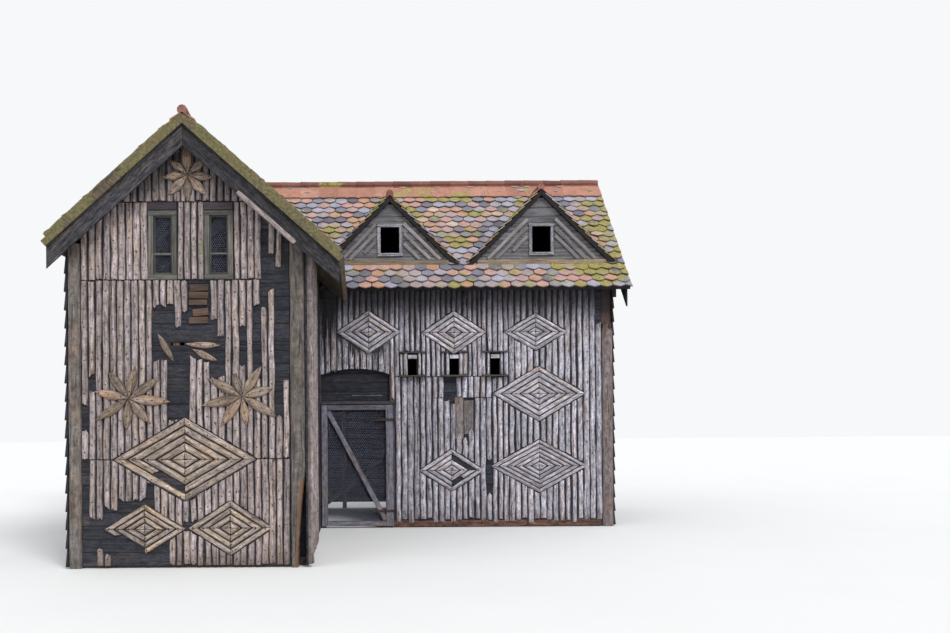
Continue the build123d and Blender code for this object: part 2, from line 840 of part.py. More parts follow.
# Dormers: boarded triangles with a window hole, slopes laid on the main roof
with BuildPart() as dormer_fronts:
    for centre, half in dormers:
        side_half = dormer_window_width / 2
        foot = dormer_base
        window_foot = foot + dormer_window_rise
        window_top = window_foot + dormer_window_height
        reach = half - dormer_plumb / dormer_slope
        face = across(y_dormer + dormer_board)
        for side in (-1, 1):
            points = [
                (centre + side * reach, foot),
                (centre + side * side_half, foot),
                (centre + side * side_half, foot + (reach - side_half) * dormer_slope),
            ]
            panel(face, points, dormer_board)
        low_x = centre - side_half + board_joint
        high_x = centre + side_half - board_joint
        block((low_x, y_dormer, foot), (high_x, y_dormer + dormer_board, window_foot))
        points = [
            (low_x, window_top),
            (high_x, window_top),
            (high_x, foot + (reach - side_half + board_joint) * dormer_slope),
            (centre, foot + reach * dormer_slope),
            (low_x, foot + (reach - side_half + board_joint) * dormer_slope),
        ]
        panel(face, points, dormer_board)
save(dormer_fronts, "dormer_fronts")


def dormer_slope_slab(centre, half, side):
    """One slope of a dormer roof, before it is cut along the main slope."""
    low = dormer_base - dormer_verge * main_slope
    extra = dormer_verge * main_slope / dormer_slope
    edge = centre + side * (half + extra)
    apex = dormer_base + (half - board_joint / 2) * dormer_slope
    tip = centre + side * board_joint / 2
    points = [
        (edge, low),
        (tip, apex),
        (tip, apex - dormer_plumb),
        (edge - side * dormer_plumb / dormer_slope, low),
    ]
    panel(across(y_ridge), points, y_ridge - y_dormer + dormer_verge)


with BuildPart() as dormer_left_slopes:
    for centre, half in dormers:
        dormer_slope_slab(centre, half, -1)
    split(bisect_by=main_roof_plane, keep=Keep.TOP)
save(dormer_left_slopes, "dormer_left_slopes")

with BuildPart() as dormer_right_slopes:
    for centre, half in dormers:
        dormer_slope_slab(centre, half, 1)
    split(bisect_by=main_roof_plane, keep=Keep.TOP)
save(dormer_right_slopes, "dormer_right_slopes")

with BuildPart() as dormer_sills:
    sill_front = y_dormer - dormer_sill_proud
    outline = [
        (y_dormer, dormer_base),
        (y_dormer, dormer_base + dormer_sill_height),
        (sill_front, dormer_base + dormer_sill_height),
        (sill_front, main_top(sill_front)),
    ]
    for centre, half in dormers:
        inside = half - dormer_plumb / dormer_slope - dormer_sill_height / dormer_slope
        panel(along(centre - inside), outline, 2 * inside)
save(dormer_sills, "dormer_sills")

with BuildPart() as dormer_ridge_tiles:
    for centre, half in dormers:
        apex = dormer_base + half * dormer_slope
        ridge_cap(across(y_ridge), centre, apex, dormer_pitch, y_ridge - y_dormer + dormer_verge)
    split(bisect_by=main_roof_plane, keep=Keep.TOP)
save(dormer_ridge_tiles, "dormer_ridge_tiles")


def casing(centre, foot, width, height, face_width, y, proud):
    """Flat frame nailed round an opening."""
    outer_low = (centre - width / 2 - face_width, y - proud, foot - face_width)
    outer_high = (centre + width / 2 + face_width, y, foot + height + face_width)
    block(outer_low, outer_high)
    inner_low = (centre - width / 2, y - proud, foot)
    block(inner_low, (centre + width / 2, y, foot + height), mode=Mode.SUBTRACT)


with BuildPart() as dormer_window_frames:
    for centre, half in dormers:
        foot = dormer_base + dormer_window_rise
        size = (dormer_window_width, dormer_window_height)
        casing(centre, foot, *size, dormer_frame_face, y_dormer, dormer_frame_proud)
save(dormer_window_frames, "dormer_window_frames")

with BuildPart() as wing_window_frames:
    for centre in window_centres:
        size = (window_width, window_height)
        casing(centre, window_sill_height, *size, window_frame_face, y_front, window_frame_proud)
save(wing_window_frames, "wing_window_frames")

with BuildPart() as window_mesh:
    for centre in window_centres:
        low = (centre - window_width / 2, y_front + mesh_setback, window_sill_height)
        high = (centre + window_width / 2, y_front + mesh_setback + mesh_thickness, window_head_height)
        block(low, high)
save(window_mesh, "window_mesh")

with BuildPart() as window_lintels:
    for centre in window_centres:
        reach = window_width / 2 + window_frame_face
        foot = window_head_height + window_frame_face
        block((centre - reach, y_front - lintel_proud, foot), (centre + reach, y_front, foot + lintel_height))
save(window_lintels, "window_lintels")

# Doorway
with BuildPart() as door_posts:
    block((x_corner, y_main, 0), (x_corner + door_post, y_frame_inside, door_head_foot))
    block((door_jamb, y_main, 0), (door_post_right, y_frame_inside, door_head_foot))
save(door_posts, "door_posts")

with BuildPart() as door_head:
    low = (x_corner, y_main - door_head_proud, door_head_foot)
    block(low, (door_post_right, y_frame_inside, door_head_top))
save(door_head, "door_head")

# Door leaf
leaf_back = y_main - door_gap
leaf_front = leaf_back - door_thickness
inner_left = door_left + door_left_stile
inner_right = door_right - door_right_stile
inner_foot = door_foot + door_bottom_rail
inner_top = door_top - door_top_rail
with BuildPart() as door_stiles:
    block((door_left, leaf_front, door_foot), (inner_left, leaf_back, door_top))
    block((inner_right, leaf_front, door_foot), (door_right, leaf_back, door_top))
save(door_stiles, "door_stiles")

with BuildPart() as door_rails:
    block((inner_left, leaf_front, door_foot), (inner_right, leaf_back, inner_foot))
    block((inner_left, leaf_front, inner_top), (inner_right, leaf_back, door_top))
save(door_rails, "door_rails")

with BuildPart() as door_brace:
    half_across = door_brace_width / 2
    points = [
        (inner_left, inner_top - half_across),
        (inner_left, inner_top),
        (inner_left + half_across, inner_top),
        (inner_right, inner_foot + half_across),
        (inner_right, inner_foot),
        (inner_right - half_across, inner_foot),
    ]
    panel(across(leaf_front + door_brace_thickness), points, door_brace_thickness)
save(door_brace, "door_brace")

with BuildPart() as door_mesh:
    block((inner_left, leaf_back - mesh_thickness, inner_foot), (inner_right, leaf_back, inner_top))
save(door_mesh, "door_mesh")

# Strap hinges on hooks driven into the right door post
hinge_x = door_right + hinge_axis_side
hinge_y = y_main - hinge_axis_out
hinge_levels = (door_foot + hinge_inset, door_top - hinge_inset)
with BuildPart() as door_straps:
    for level in hinge_levels:
        strap_foot = level - hinge_strap_height / 2
        low = (hinge_x - hinge_strap_length, leaf_front - hinge_strap_thickness, strap_foot)
        block(low, (hinge_x, leaf_front, level + hinge_strap_height / 2))
        with Locations((hinge_x, hinge_y, level)):
            Cylinder(hinge_eye_radius, hinge_height)
    for level in hinge_levels:
        with Locations((hinge_x, hinge_y, level)):
            Cylinder(hinge_pin_radius + hinge_play, hinge_height, mode=Mode.SUBTRACT)
save(door_straps, "door_straps")

with BuildPart() as hinge_hooks:
    for level in hinge_levels:
        eye_foot = level - hinge_height / 2
        hook_foot = eye_foot - hinge_play - hinge_hook_drop
        half_shank = hinge_hook_shank / 2
        low = (hinge_x - half_shank, hinge_y, hook_foot)
        block(low, (hinge_x + half_shank, y_main, hook_foot + hinge_hook_shank))
        with Locations((hinge_x, hinge_y, hook_foot)):
            Cylinder(hinge_collar_radius, hinge_hook_drop, align=(Align.CENTER, Align.CENTER, Align.MIN))
            pin_length = hinge_hook_drop + hinge_height + hinge_pin_radius
            Cylinder(hinge_pin_radius, pin_length, align=(Align.CENTER, Align.CENTER, Align.MIN))
save(hinge_hooks, "hinge_hooks")

# Landing ledges under the pigeon holes
with BuildPart() as pigeon_ledges:
    for centre in hole_centres:
        middle = x_corner + centre
        low = (middle - ledge_length / 2, y_main - ledge_reach, hole_foot - ledge_thickness)
        block(low, (middle + ledge_length / 2, y_main, hole_foot))
save(pigeon_ledges, "pigeon_ledges")

with BuildPart() as pigeon_blocks:
    for centre in hole_centres:
        low_x = x_corner + centre - hole_width / 2
        low = (low_x, y_main - pole_proud, hole_block_foot)
        block(low, (low_x + hole_width, y_main, hole_block_foot + hole_block_height))
save(pigeon_blocks, "pigeon_blocks")


# Walls that the cladding is nailed to. On a wall plane, x runs along the wall,
# y into it and z up; on a face plane, x runs along the wall and y up.
wing_wall = Plane(origin=(x_corner, y_front, 0), x_dir=(1, 0, 0), z_dir=(0, 0, 1))
main_wall = Plane(origin=(x_corner, y_main, 0), x_dir=(1, 0, 0), z_dir=(0, 0, 1))
side_wall = Plane(origin=(side_face_right, y_front - post_proud, 0), x_dir=(0, 1, 0), z_dir=(0, 0, 1))
wing_face = Plane(origin=(x_corner, y_front, 0), x_dir=(1, 0, 0), z_dir=(0, -1, 0))
main_face = Plane(origin=(x_corner, y_main, 0), x_dir=(1, 0, 0), z_dir=(0, -1, 0))


def kept_stretches(middle, foot, top, lost):
    """Heights between which a pole still stands, less the lost stretches."""
    pieces = [(foot, top)]
    for lost_left, lost_right, lost_foot, lost_top in lost:
        if lost_left < middle < lost_right:
            below = [(low, min(high, lost_foot)) for low, high in pieces]
            above = [(max(low, lost_top), high) for low, high in pieces]
            pieces = [(low, high) for low, high in below + above if high - low > shortest_pole]
    return pieces


def pole_row(wall, left, right, foot, top, pitch, lost=()):
    """Split poles of about one pitch that fill a stretch of wall, flat side in."""
    poles = []
    count = max(1, round((right - left) / pitch))
    step = (right - left) / count
    half = (step - pole_joint) / 2
    turns = [pi * corner / pole_faces for corner in range(pole_faces + 1)]
    crown = max(sin(turn) for turn in turns)
    for number in range(count):
        middle = left + (number + 0.5) * step
        points = [(middle - half * cos(turn), -pole_proud * sin(turn) / crown) for turn in turns]
        for low, high in kept_stretches(middle, foot, top, lost):
            with BuildSketch(wall.offset(low)) as section:
                with BuildLine():
                    Polyline(*points, close=True)
                make_face()
            poles.append(extrude(section.sketch, amount=high - low, mode=Mode.PRIVATE))
    return poles


def cut_diamonds(face, diamonds):
    """Clear the poles away behind each diamond, with a joint round it."""
    for centre_x, centre_z, half_width, half_height, rings, broken in diamonds:
        depth = half_width * half_height / hypot(half_width, half_height)
        spread = 1 + stick_joint / depth
        corners = [
            (centre_x + half_width * spread, centre_z),
            (centre_x, centre_z + half_height * spread),
            (centre_x - half_width * spread, centre_z),
            (centre_x, centre_z - half_height * spread),
        ]
        panel(face, corners, pole_proud + board_joint, mode=Mode.SUBTRACT)


def stick_corners(half_width, half_height, outer, inner, kept):
    """Corners of one mitred stick in the upper right quarter of a diamond."""
    joint = stick_joint / 2
    outer_side = (half_width * (outer - joint / half_height), joint)
    outer_head = (joint, half_height * (outer - joint / half_width))
    inner_side = (half_width * (inner - joint / half_height), joint)
    inner_head = (joint, half_height * (inner - joint / half_width))
    if inner == 0:
        return [outer_side, outer_head, (joint, joint)]
    outer_end = [side + kept * (head - side) for side, head in zip(outer_side, outer_head)]
    inner_end = [side + kept * (head - side) for side, head in zip(inner_side, inner_head)]
    return [outer_side, tuple(outer_end), tuple(inner_end), inner_side]


def nested_sticks(face, diamonds):
    """Diamonds of rings, each of four sticks mitred at the corners."""
    sticks = []
    for centre_x, centre_z, half_width, half_height, rings, broken in diamonds:
        depth = half_width * half_height / hypot(half_width, half_height)
        for ring in range(rings):
            outer = 1 - ring / rings
            inner = 0 if ring == rings - 1 else outer - 1 / rings + stick_joint / depth
            for side, (turn_x, turn_z) in enumerate(((1, 1), (-1, 1), (-1, -1), (1, -1))):
                kept = broken.get((ring, side), 1)
                if kept == 0:
                    continue
                corners = stick_corners(half_width, half_height, outer, inner, kept)
                points = [(centre_x + turn_x * x, centre_z + turn_z * z) for x, z in corners]
                with BuildSketch(face) as outline:
                    with BuildLine():
                        Polyline(*points, close=True)
                    make_face()
                stick = extrude(outline.sketch, amount=stick_proud, taper=stick_taper, mode=Mode.PRIVATE)
                sticks.append(stick)
    return sticks


def petal(face, root, tip, half_width, hub=None):
    """A pointed leaf between two arcs, cut to a wedge where it meets its hub."""
    run_x = tip[0] - root[0]
    run_z = tip[1] - root[1]
    length = hypot(run_x, run_z)
    middle = ((root[0] + tip[0]) / 2, (root[1] + tip[1]) / 2)
    aside = (-run_z / length * half_width, run_x / length * half_width)
    with BuildSketch(face) as outline:
        with BuildLine():
            ThreePointArc(root, (middle[0] + aside[0], middle[1] + aside[1]), tip)
            ThreePointArc(tip, (middle[0] - aside[0], middle[1] - aside[1]), root)
        make_face()
        if hub:
            heading = atan2(run_z, run_x)
            edges = [heading + radians(petal_wedge), heading - radians(petal_wedge)]
            far = [(hub[0] + 2 * length * cos(edge), hub[1] + 2 * length * sin(edge)) for edge in edges]
            with BuildLine():
                Polyline(hub, *far, close=True)
            make_face(mode=Mode.INTERSECT)
    return extrude(outline.sketch, amount=petal_proud, taper=petal_taper, mode=Mode.PRIVATE)


def star(face, centre, tips):
    """Eight petals round a hub, over the poles."""
    ends = [(centre[0] + tip_x, centre[1] + tip_z) for tip_x, tip_z in tips]
    return [petal(face, centre, end, petal_half_width, hub=centre) for end in ends]


# Wing front: a lower and an upper row, a row beside the windows and the gable's row
window_places = [centre - x_corner for centre in window_centres]
casing_reach = window_width / 2 + window_frame_face + board_joint
wing_start = post_left_size - wing_width
wing_end = -post_size
sill_level = window_sill_height - window_frame_face - board_joint
lintel_level = window_head_height + window_frame_face + lintel_height + board_joint
with BuildPart() as wing_front_poles:
    bay_starts = [wing_start] + [place + casing_reach for place in window_places]
    bay_ends = [place - casing_reach for place in window_places] + [wing_end]
    rows = [
        (wing_start, wing_end, pole_foot, wing_butt_height),
        (wing_start, wing_end, wing_butt_height + butt_joint, sill_level),
        (wing_start, wing_end, lintel_level + butt_joint, wing_ridge_height),
    ]
    for bay_start, bay_end in zip(bay_starts, bay_ends):
        rows.append((bay_start, bay_end, sill_level + butt_joint, lintel_level))
    for row in rows:
        add(pole_row(wing_wall, *row, wing_pole_pitch, wing_lost))
    cut_diamonds(wing_face, wing_diamonds_measured)
    # cut along the underside of the roof
    ridge_place = x_ridge - x_corner
    cut_reach = wing_width
    cut_foot = wing_under(x_ridge) - board_joint - cut_reach * wing_slope
    points = [
        (ridge_place - cut_reach, cut_foot),
        (ridge_place, wing_under(x_ridge) - board_joint),
        (ridge_place + cut_reach, cut_foot),
        (ridge_place + cut_reach, wing_ridge_height + board_joint),
        (ridge_place - cut_reach, wing_ridge_height + board_joint),
    ]
    panel(wing_face, points, pole_proud + board_joint, mode=Mode.SUBTRACT)
save(wing_front_poles, "wing_front_poles")

# Side of the wing: a round pole at the corner, then split poles short of the door
with BuildPart() as wing_side_poles:
    corner_top = wing_under(side_face_right + 2 * corner_pole_radius) - board_joint
    with Locations((side_face_right + corner_pole_radius, y_front - post_proud + corner_pole_radius, pole_foot)):
        height = corner_top - pole_foot
        Cylinder(corner_pole_radius, height, align=(Align.CENTER, Align.CENTER, Align.MIN))
    side_start = 2 * corner_pole_radius + pole_joint
    side_top = wing_under(side_face_right + pole_proud) - board_joint
    add(pole_row(side_wall, side_start, side_pole_reach, pole_foot, side_top, wing_pole_pitch))
save(wing_side_poles, "wing_side_poles")

# Main front: poles under and over the pigeon holes, over the arch and to the right
door_side = door_post_right - x_corner
ledge_half = ledge_length / 2
holes_end = hole_centres[-1] + ledge_half
main_end = main_front_length - corner_post_face
under_ledges = hole_foot - ledge_thickness - board_joint
cap_top = hole_cap_foot + hole_cap_thickness
pole_top = main_under(y_main - pole_proud) - main_rafter_plumb - board_joint
eave_diamonds = [(x, main_eave_height - drop, *rest) for x, drop, *rest in eave_diamonds_measured]
main_diamond_list = (*eave_diamonds, *main_diamonds_measured)
with BuildPart() as main_front_poles:
    wide_rows = [
        (door_side, main_butt_start, pole_foot, under_ledges),
        (main_butt_start, main_butt_end, pole_foot, main_butt_height),
        (main_butt_start, main_butt_end, main_butt_height + butt_joint, under_ledges),
        (main_butt_end, holes_end, pole_foot, under_ledges),
        (holes_end, main_end, pole_foot, pole_top),
        (arch_right, door_side, door_head_top + board_joint, pole_top),
        (0, arch_right, arch_spring_height, pole_top),
    ]
    # between the ledges, and beside and over each hole
    narrow_rows = []
    gap_starts = [door_side] + [centre + ledge_half for centre in hole_centres[:-1]]
    for gap_start, centre in zip(gap_starts, hole_centres):
        ledge_start = centre - ledge_half
        ledge_end = centre + ledge_half
        hole_edge = hole_width / 2 + board_joint
        beside = (hole_foot + board_joint, hole_cap_foot - board_joint)
        narrow_rows.append((gap_start, ledge_start, under_ledges + butt_joint, pole_top))
        narrow_rows.append((ledge_start, centre - hole_edge, *beside))
        narrow_rows.append((centre + hole_edge, ledge_end, *beside))
        narrow_rows.append((ledge_start, ledge_end, cap_top + board_joint, pole_top))
    for row in wide_rows:
        add(pole_row(main_wall, *row, main_pole_pitch, main_lost))
    for row in narrow_rows:
        add(pole_row(main_wall, *row, narrow_pole_pitch))
    # cut to the arch over the doorway
    with BuildSketch(main_face) as arch:
        with BuildLine():
            spring_left = (arch_left, arch_spring_height)
            spring_right = (arch_right, arch_spring_height)
            ThreePointArc(spring_left, ((arch_left + arch_right) / 2, arch_spring_height + arch_rise), spring_right)
            Line(spring_right, spring_left)
        make_face()
    extrude(arch.sketch, amount=pole_proud + board_joint, mode=Mode.SUBTRACT)
    cut_diamonds(main_face, main_diamond_list)
save(main_front_poles, "main_front_poles")

# Thin caps over the pigeon holes, cut where a diamond's corner comes down
with BuildPart() as pigeon_caps:
    for centre in hole_centres:
        low = (x_corner + centre - ledge_half, y_main - hole_cap_reach, hole_cap_foot)
        block(low, (x_corner + centre + ledge_half, y_main, cap_top))
    for centre_x, centre_z, half_width, half_height, rings, broken in main_diamond_list:
        spread = 1 + 2 * stick_joint / half_height
        corners = [
            (centre_x + half_width * spread, centre_z),
            (centre_x, centre_z + half_height * spread),
            (centre_x - half_width * spread, centre_z),
            (centre_x, centre_z - half_height * spread),
        ]
        panel(main_face, corners, hole_cap_reach + board_joint, mode=Mode.SUBTRACT)
save(pigeon_caps, "pigeon_caps")

with BuildPart() as wing_diamonds:
    add(nested_sticks(wing_face, wing_diamonds_measured))
save(wing_diamonds, "wing_diamonds")

with BuildPart() as main_diamonds:
    add(nested_sticks(main_face, main_diamond_list))
save(main_diamonds, "main_diamonds")

with BuildPart() as wing_stars:
    pole_crowns = wing_face.offset(pole_proud)
    add(star(pole_crowns, (apex_star[0], wing_ridge_height - apex_star[1]), apex_tips))
    add(star(pole_crowns, left_star, left_tips))
    add(star(pole_crowns, right_star, right_tips))
    add([petal(wing_face, root, tip, loose_petal_half_width) for root, tip in loose_petals])
save(wing_stars, "wing_stars")
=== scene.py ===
"""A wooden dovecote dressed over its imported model.

Split poles, mitred sticks, petals, boards, posts, tiles and netting are surfaces
worked out as whole arrays, each in the place that its solid holds in the frame.
Lengths are in metres, +Z is up and +Y goes towards the back.
"""

import math

import bpy
import numpy as np
from bpy.props import FloatProperty, FloatVectorProperty, PointerProperty
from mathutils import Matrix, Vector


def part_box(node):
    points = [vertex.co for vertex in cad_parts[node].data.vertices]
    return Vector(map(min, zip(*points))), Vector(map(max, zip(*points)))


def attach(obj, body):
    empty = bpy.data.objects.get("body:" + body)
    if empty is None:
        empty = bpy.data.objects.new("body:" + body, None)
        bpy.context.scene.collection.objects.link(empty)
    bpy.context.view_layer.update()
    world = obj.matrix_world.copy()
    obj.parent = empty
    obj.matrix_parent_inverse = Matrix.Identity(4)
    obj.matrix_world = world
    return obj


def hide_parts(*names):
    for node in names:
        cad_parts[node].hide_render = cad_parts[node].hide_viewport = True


bl_info = {
    "name": "Wooden Dovecote",
    "version": (1, 0, 0),
    "blender": (4, 5, 0),
    "location": "View3D > Sidebar > Dovecote",
    "description": "Dresses the frame of a wooden dovecote",
    "category": "Object",
}

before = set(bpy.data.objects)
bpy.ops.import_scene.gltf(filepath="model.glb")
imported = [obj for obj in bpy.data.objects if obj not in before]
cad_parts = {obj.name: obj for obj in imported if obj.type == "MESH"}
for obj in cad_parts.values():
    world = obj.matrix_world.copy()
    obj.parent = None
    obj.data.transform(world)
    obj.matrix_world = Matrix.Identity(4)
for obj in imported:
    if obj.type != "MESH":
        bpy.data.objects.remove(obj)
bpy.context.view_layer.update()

# Places read from the frame
y_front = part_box("wing_front_boards")[0].y
y_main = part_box("main_front_boards")[0].y
x_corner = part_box("wing_right_boards")[0].x
x_side_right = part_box("wing_right_boards")[1].x
x_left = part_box("wing_left_boards")[1].x
x_side_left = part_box("wing_left_boards")[0].x
x_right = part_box("right_gable_boards")[0].x
y_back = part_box("back_boards")[0].y
y_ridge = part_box("main_roof_back")[0].y
main_ridge_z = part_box("main_roof_back")[1].z
y_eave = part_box("main_roof_front")[0].y
y_back_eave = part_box("main_roof_back")[1].y
x_verge_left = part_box("main_roof_back")[0].x
x_verge_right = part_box("main_roof_back")[1].x
x_wing_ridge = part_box("wing_roof_left")[1].x
wing_ridge_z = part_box("wing_roof_left")[1].z
x_wing_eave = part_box("wing_roof_right")[1].x
y_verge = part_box("wing_roof_left")[0].y
y_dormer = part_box("dormer_fronts")[0].y
dormer_foot_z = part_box("dormer_fronts")[0].z


class DovecoteSizes(bpy.types.PropertyGroup):
    """Sizes that a user would change."""

    main_pitch: FloatProperty(
        name="Main pitch", description="Slope of the main roof", default=math.radians(46), subtype="ANGLE"
    )
    wing_pitch: FloatProperty(
        name="Wing pitch", description="Slope of the wing roof", default=math.radians(41.7), subtype="ANGLE"
    )
    roof_thickness: FloatProperty(
        name="Roof thickness", description="Thickness of a roof slope", default=0.08, unit="LENGTH"
    )
    tile_width: FloatProperty(
        name="Tile width", description="Distance from one tile to the next", default=0.2, unit="LENGTH"
    )
    tile_gauge: FloatProperty(
        name="Tile gauge", description="Distance from course to course", default=0.15, unit="LENGTH"
    )
    tile_thickness: FloatProperty(
        name="Tile thickness", description="Thickness of a tile", default=0.014, unit="LENGTH"
    )
    board_pitch: FloatProperty(
        name="Board pitch", description="Height that one wall board shows", default=0.218, unit="LENGTH"
    )
    net_cell: FloatProperty(
        name="Net cell", description="Width of one mesh of the netting", default=0.025, unit="LENGTH"
    )
    wire_radius: FloatProperty(
        name="Wire radius", description="Radius of the netting's wire", default=0.0009, unit="LENGTH"
    )


class DovecoteColours(bpy.types.PropertyGroup):
    """Colours that a user would change."""

    wing_pole: FloatVectorProperty(
        name="Wing poles",
        description="Weathered tan grey of the wing's poles",
        default=(0.325, 0.272, 0.274),
        subtype="COLOR",
    )
    main_pole: FloatVectorProperty(
        name="Main poles",
        description="Cooler grey of the main front's poles",
        default=(0.43, 0.415, 0.475),
        subtype="COLOR",
    )
    petal: FloatVectorProperty(
        name="Petals",
        description="Ochre of the carved petals",
        default=(0.235, 0.185, 0.15),
        subtype="COLOR",
    )
    # Near black, as dark as the shade behind the poles and under the arch: painted shade
    board: FloatVectorProperty(
        name="Boards", description="Tarred boards gone grey", default=(0.026, 0.028, 0.038), subtype="COLOR"
    )
    # Grey paint, darkened further by painted shade cast by leaves
    paint: FloatVectorProperty(
        name="Frames",
        description="Old grey paint on the wing's window frames",
        default=(0.095, 0.096, 0.086),
        subtype="COLOR",
    )
    moss: FloatVectorProperty(
        name="Moss", description="Moss on the verges and tiles", default=(0.27, 0.235, 0.08), subtype="COLOR"
    )
    clay: FloatVectorProperty(
        name="Clay", description="Fired clay of the ridge tiles", default=(0.4, 0.19, 0.135), subtype="COLOR"
    )


def sizes():
    """The scene's sizes."""
    return bpy.context.scene.dovecote_sizes


def colours():
    """The scene's colours."""
    return bpy.context.scene.dovecote_colours


def main_roof_z(y):
    """Height of the main slopes' upper face across the ridge."""
    return main_ridge_z - math.tan(sizes().main_pitch) * np.abs(y - y_ridge)


def wing_roof_z(x):
    """Height of the wing slopes' upper face across the ridge."""
    return wing_ridge_z - math.tan(sizes().wing_pitch) * np.abs(x - x_wing_ridge)


# Meshes


class Heap:
    """Closed tubes gathered into one mesh, with a grain map, a tone and a rim value."""

    def __init__(self):
        self.points = []
        self.triangles = []
        self.grain = []
        self.tone = []
        self.rim = []
        self.count = 0

    def tubes(self, rings, across, along, tone, rim):
        """Add many tubes at once, of rings[tube, station, corner, xyz].

        Each station's corners run round a closed outline. Neighbouring stations are
        joined by two triangles a side, and a fan from its middle closes each end.
        Tubes whose signed volume is negative are turned right side out.
        """
        tubes, stations, corners, _ = rings.shape
        shape = (tubes, stations, corners)
        across, along, tone, rim = (np.broadcast_to(value, shape) for value in (across, along, tone, rim))
        ends = rings[:, (0, -1)].mean(2)
        points = np.concatenate([rings.reshape(tubes, -1, 3), ends], 1)
        station, corner = np.meshgrid(np.arange(stations - 1), np.arange(corners), indexing="ij")
        after = (corner + 1) % corners
        low = station * corners + corner
        low_next = station * corners + after
        high, high_next = low + corners, low_next + corners
        sides = np.stack([low, high, high_next, low, high_next, low_next], -1).reshape(-1, 3)
        ring = np.arange(corners)
        ring_next = (ring + 1) % corners
        first, last = stations * corners, stations * corners + 1
        top = (stations - 1) * corners
        foot_fan = np.stack([np.full(corners, first), ring, ring_next], -1)
        head_fan = np.stack([np.full(corners, last), top + ring_next, top + ring], -1)
        faces = np.concatenate([sides, foot_fan, head_fan])
        a, b, c = (points[:, faces[:, k]] for k in range(3))
        centre = points.mean(1, keepdims=True)
        volume = np.einsum("tij,tij->t", a - centre, np.cross(b - centre, c - centre))
        all_faces = np.repeat(faces[None], tubes, 0)
        all_faces[volume < 0] = all_faces[volume < 0][:, :, ::-1]
        offsets = self.count + np.arange(tubes) * points.shape[1]
        self.triangles.append((all_faces + offsets[:, None, None]).reshape(-1, 3))
        self.points.append(points.reshape(-1, 3))

        def with_ends(values):
            means = [values[:, end].mean(1)[:, None] for end in (0, -1)]
            return np.concatenate([values.reshape(tubes, -1), *means], 1).ravel()

        self.grain.append(np.stack([with_ends(across), with_ends(along)], -1))
        self.tone.append(with_ends(tone))
        self.rim.append(with_ends(rim))
        self.count += tubes * points.shape[1]

    def tube(self, rings, across, along, tone, rim):
        """Add one tube of rings[station, corner, xyz]."""
        self.tubes(rings[None], across, along, tone, rim)

    def finish(self, name, material, body, slot, replaced=(), sharp=38):
        """Make the mesh's object, closed and smooth under the sharp angle, and let it ride."""
        points = np.concatenate(self.points)
        triangles = np.concatenate(self.triangles)
        mesh = bpy.data.meshes.new(name)
        mesh.vertices.add(len(points))
        mesh.vertices.foreach_set("co", points.astype(np.float32).ravel())
        mesh.loops.add(len(triangles) * 3)
        mesh.loops.foreach_set("vertex_index", triangles.astype(np.int32).ravel())
        mesh.polygons.add(len(triangles))
        mesh.polygons.foreach_set("loop_start", np.arange(0, len(triangles) * 3, 3, dtype=np.int32))
        mesh.update(calc_edges=True)
        grain = np.concatenate(self.grain)
        layer = mesh.uv_layers.new(name="grain")
        layer.data.foreach_set("uv", grain[triangles.ravel()].astype(np.float32).ravel())
        for label, values in (("tone", self.tone), ("rim", self.rim)):
            carried = mesh.attributes.new(label, "FLOAT", "POINT")
            carried.data.foreach_set("value", np.concatenate(values).astype(np.float32))
        mesh.validate()
        mesh.polygons.foreach_set("use_smooth", np.ones(len(mesh.polygons), bool))
        mesh.set_sharp_from_angle(angle=math.radians(sharp))
        mesh.materials.append(material)
        piece = bpy.data.objects.new(name, mesh)
        bpy.context.scene.collection.objects.link(piece)
        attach(piece, body)
        if replaced:
            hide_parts(*replaced)
        return piece


def islands(node):
    """The separate solids of a node, as arrays of their corners.

    Corners nearer than 0.01 mm are one. Each triangle takes the lowest label met
    across its edges, until none changes.
    """
    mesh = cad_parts[node].data
    corners = np.zeros(len(mesh.vertices) * 3)
    mesh.vertices.foreach_get("co", corners)
    mesh.calc_loop_triangles()
    faces = np.zeros(len(mesh.loop_triangles) * 3, int)
    mesh.loop_triangles.foreach_get("vertices", faces)
    places, same = np.unique(np.round(corners.reshape(-1, 3), 5), axis=0, return_inverse=True)
    faces = same.ravel()[faces].reshape(-1, 3)
    sides = np.sort(np.concatenate([faces[:, (0, 1)], faces[:, (1, 2)], faces[:, (2, 0)]]), 1)
    edges, edge_of = np.unique(sides, axis=0, return_inverse=True)
    edge_of = edge_of.ravel().reshape(3, -1)
    label = np.arange(len(faces))
    while True:
        lowest = np.full(len(edges), len(faces))
        for side in edge_of:
            np.minimum.at(lowest, side, label)
        spread = np.minimum(label, lowest[edge_of].min(0))
        if (spread == label).all():
            break
        label = spread[spread]
    return [places[np.unique(faces[label == value])] for value in np.unique(label)]


def waver(rng, along, size, length):
    """A smooth random line: three sines of about one length, with random phases."""
    waves = length * rng.uniform(0.5, 1.8, 3)
    phases = rng.uniform(0, 2 * math.pi, 3)
    shares = rng.uniform(0.3, 1, 3)
    line = sum(s * np.sin(2 * math.pi * along / w + p) for s, w, p in zip(shares, waves, phases))
    return size * line / shares.sum()


def rounded_square(corners, squareness):
    """Angles and places round the outline |a|^n + |b|^n = 1, n being its squareness."""
    turn = (np.arange(corners) + 0.5) * 2 * math.pi / corners
    power = 2 / squareness
    a = np.sign(np.cos(turn)) * np.abs(np.cos(turn)) ** power
    b = np.sign(np.sin(turn)) * np.abs(np.sin(turn)) ** power
    return turn, a, b


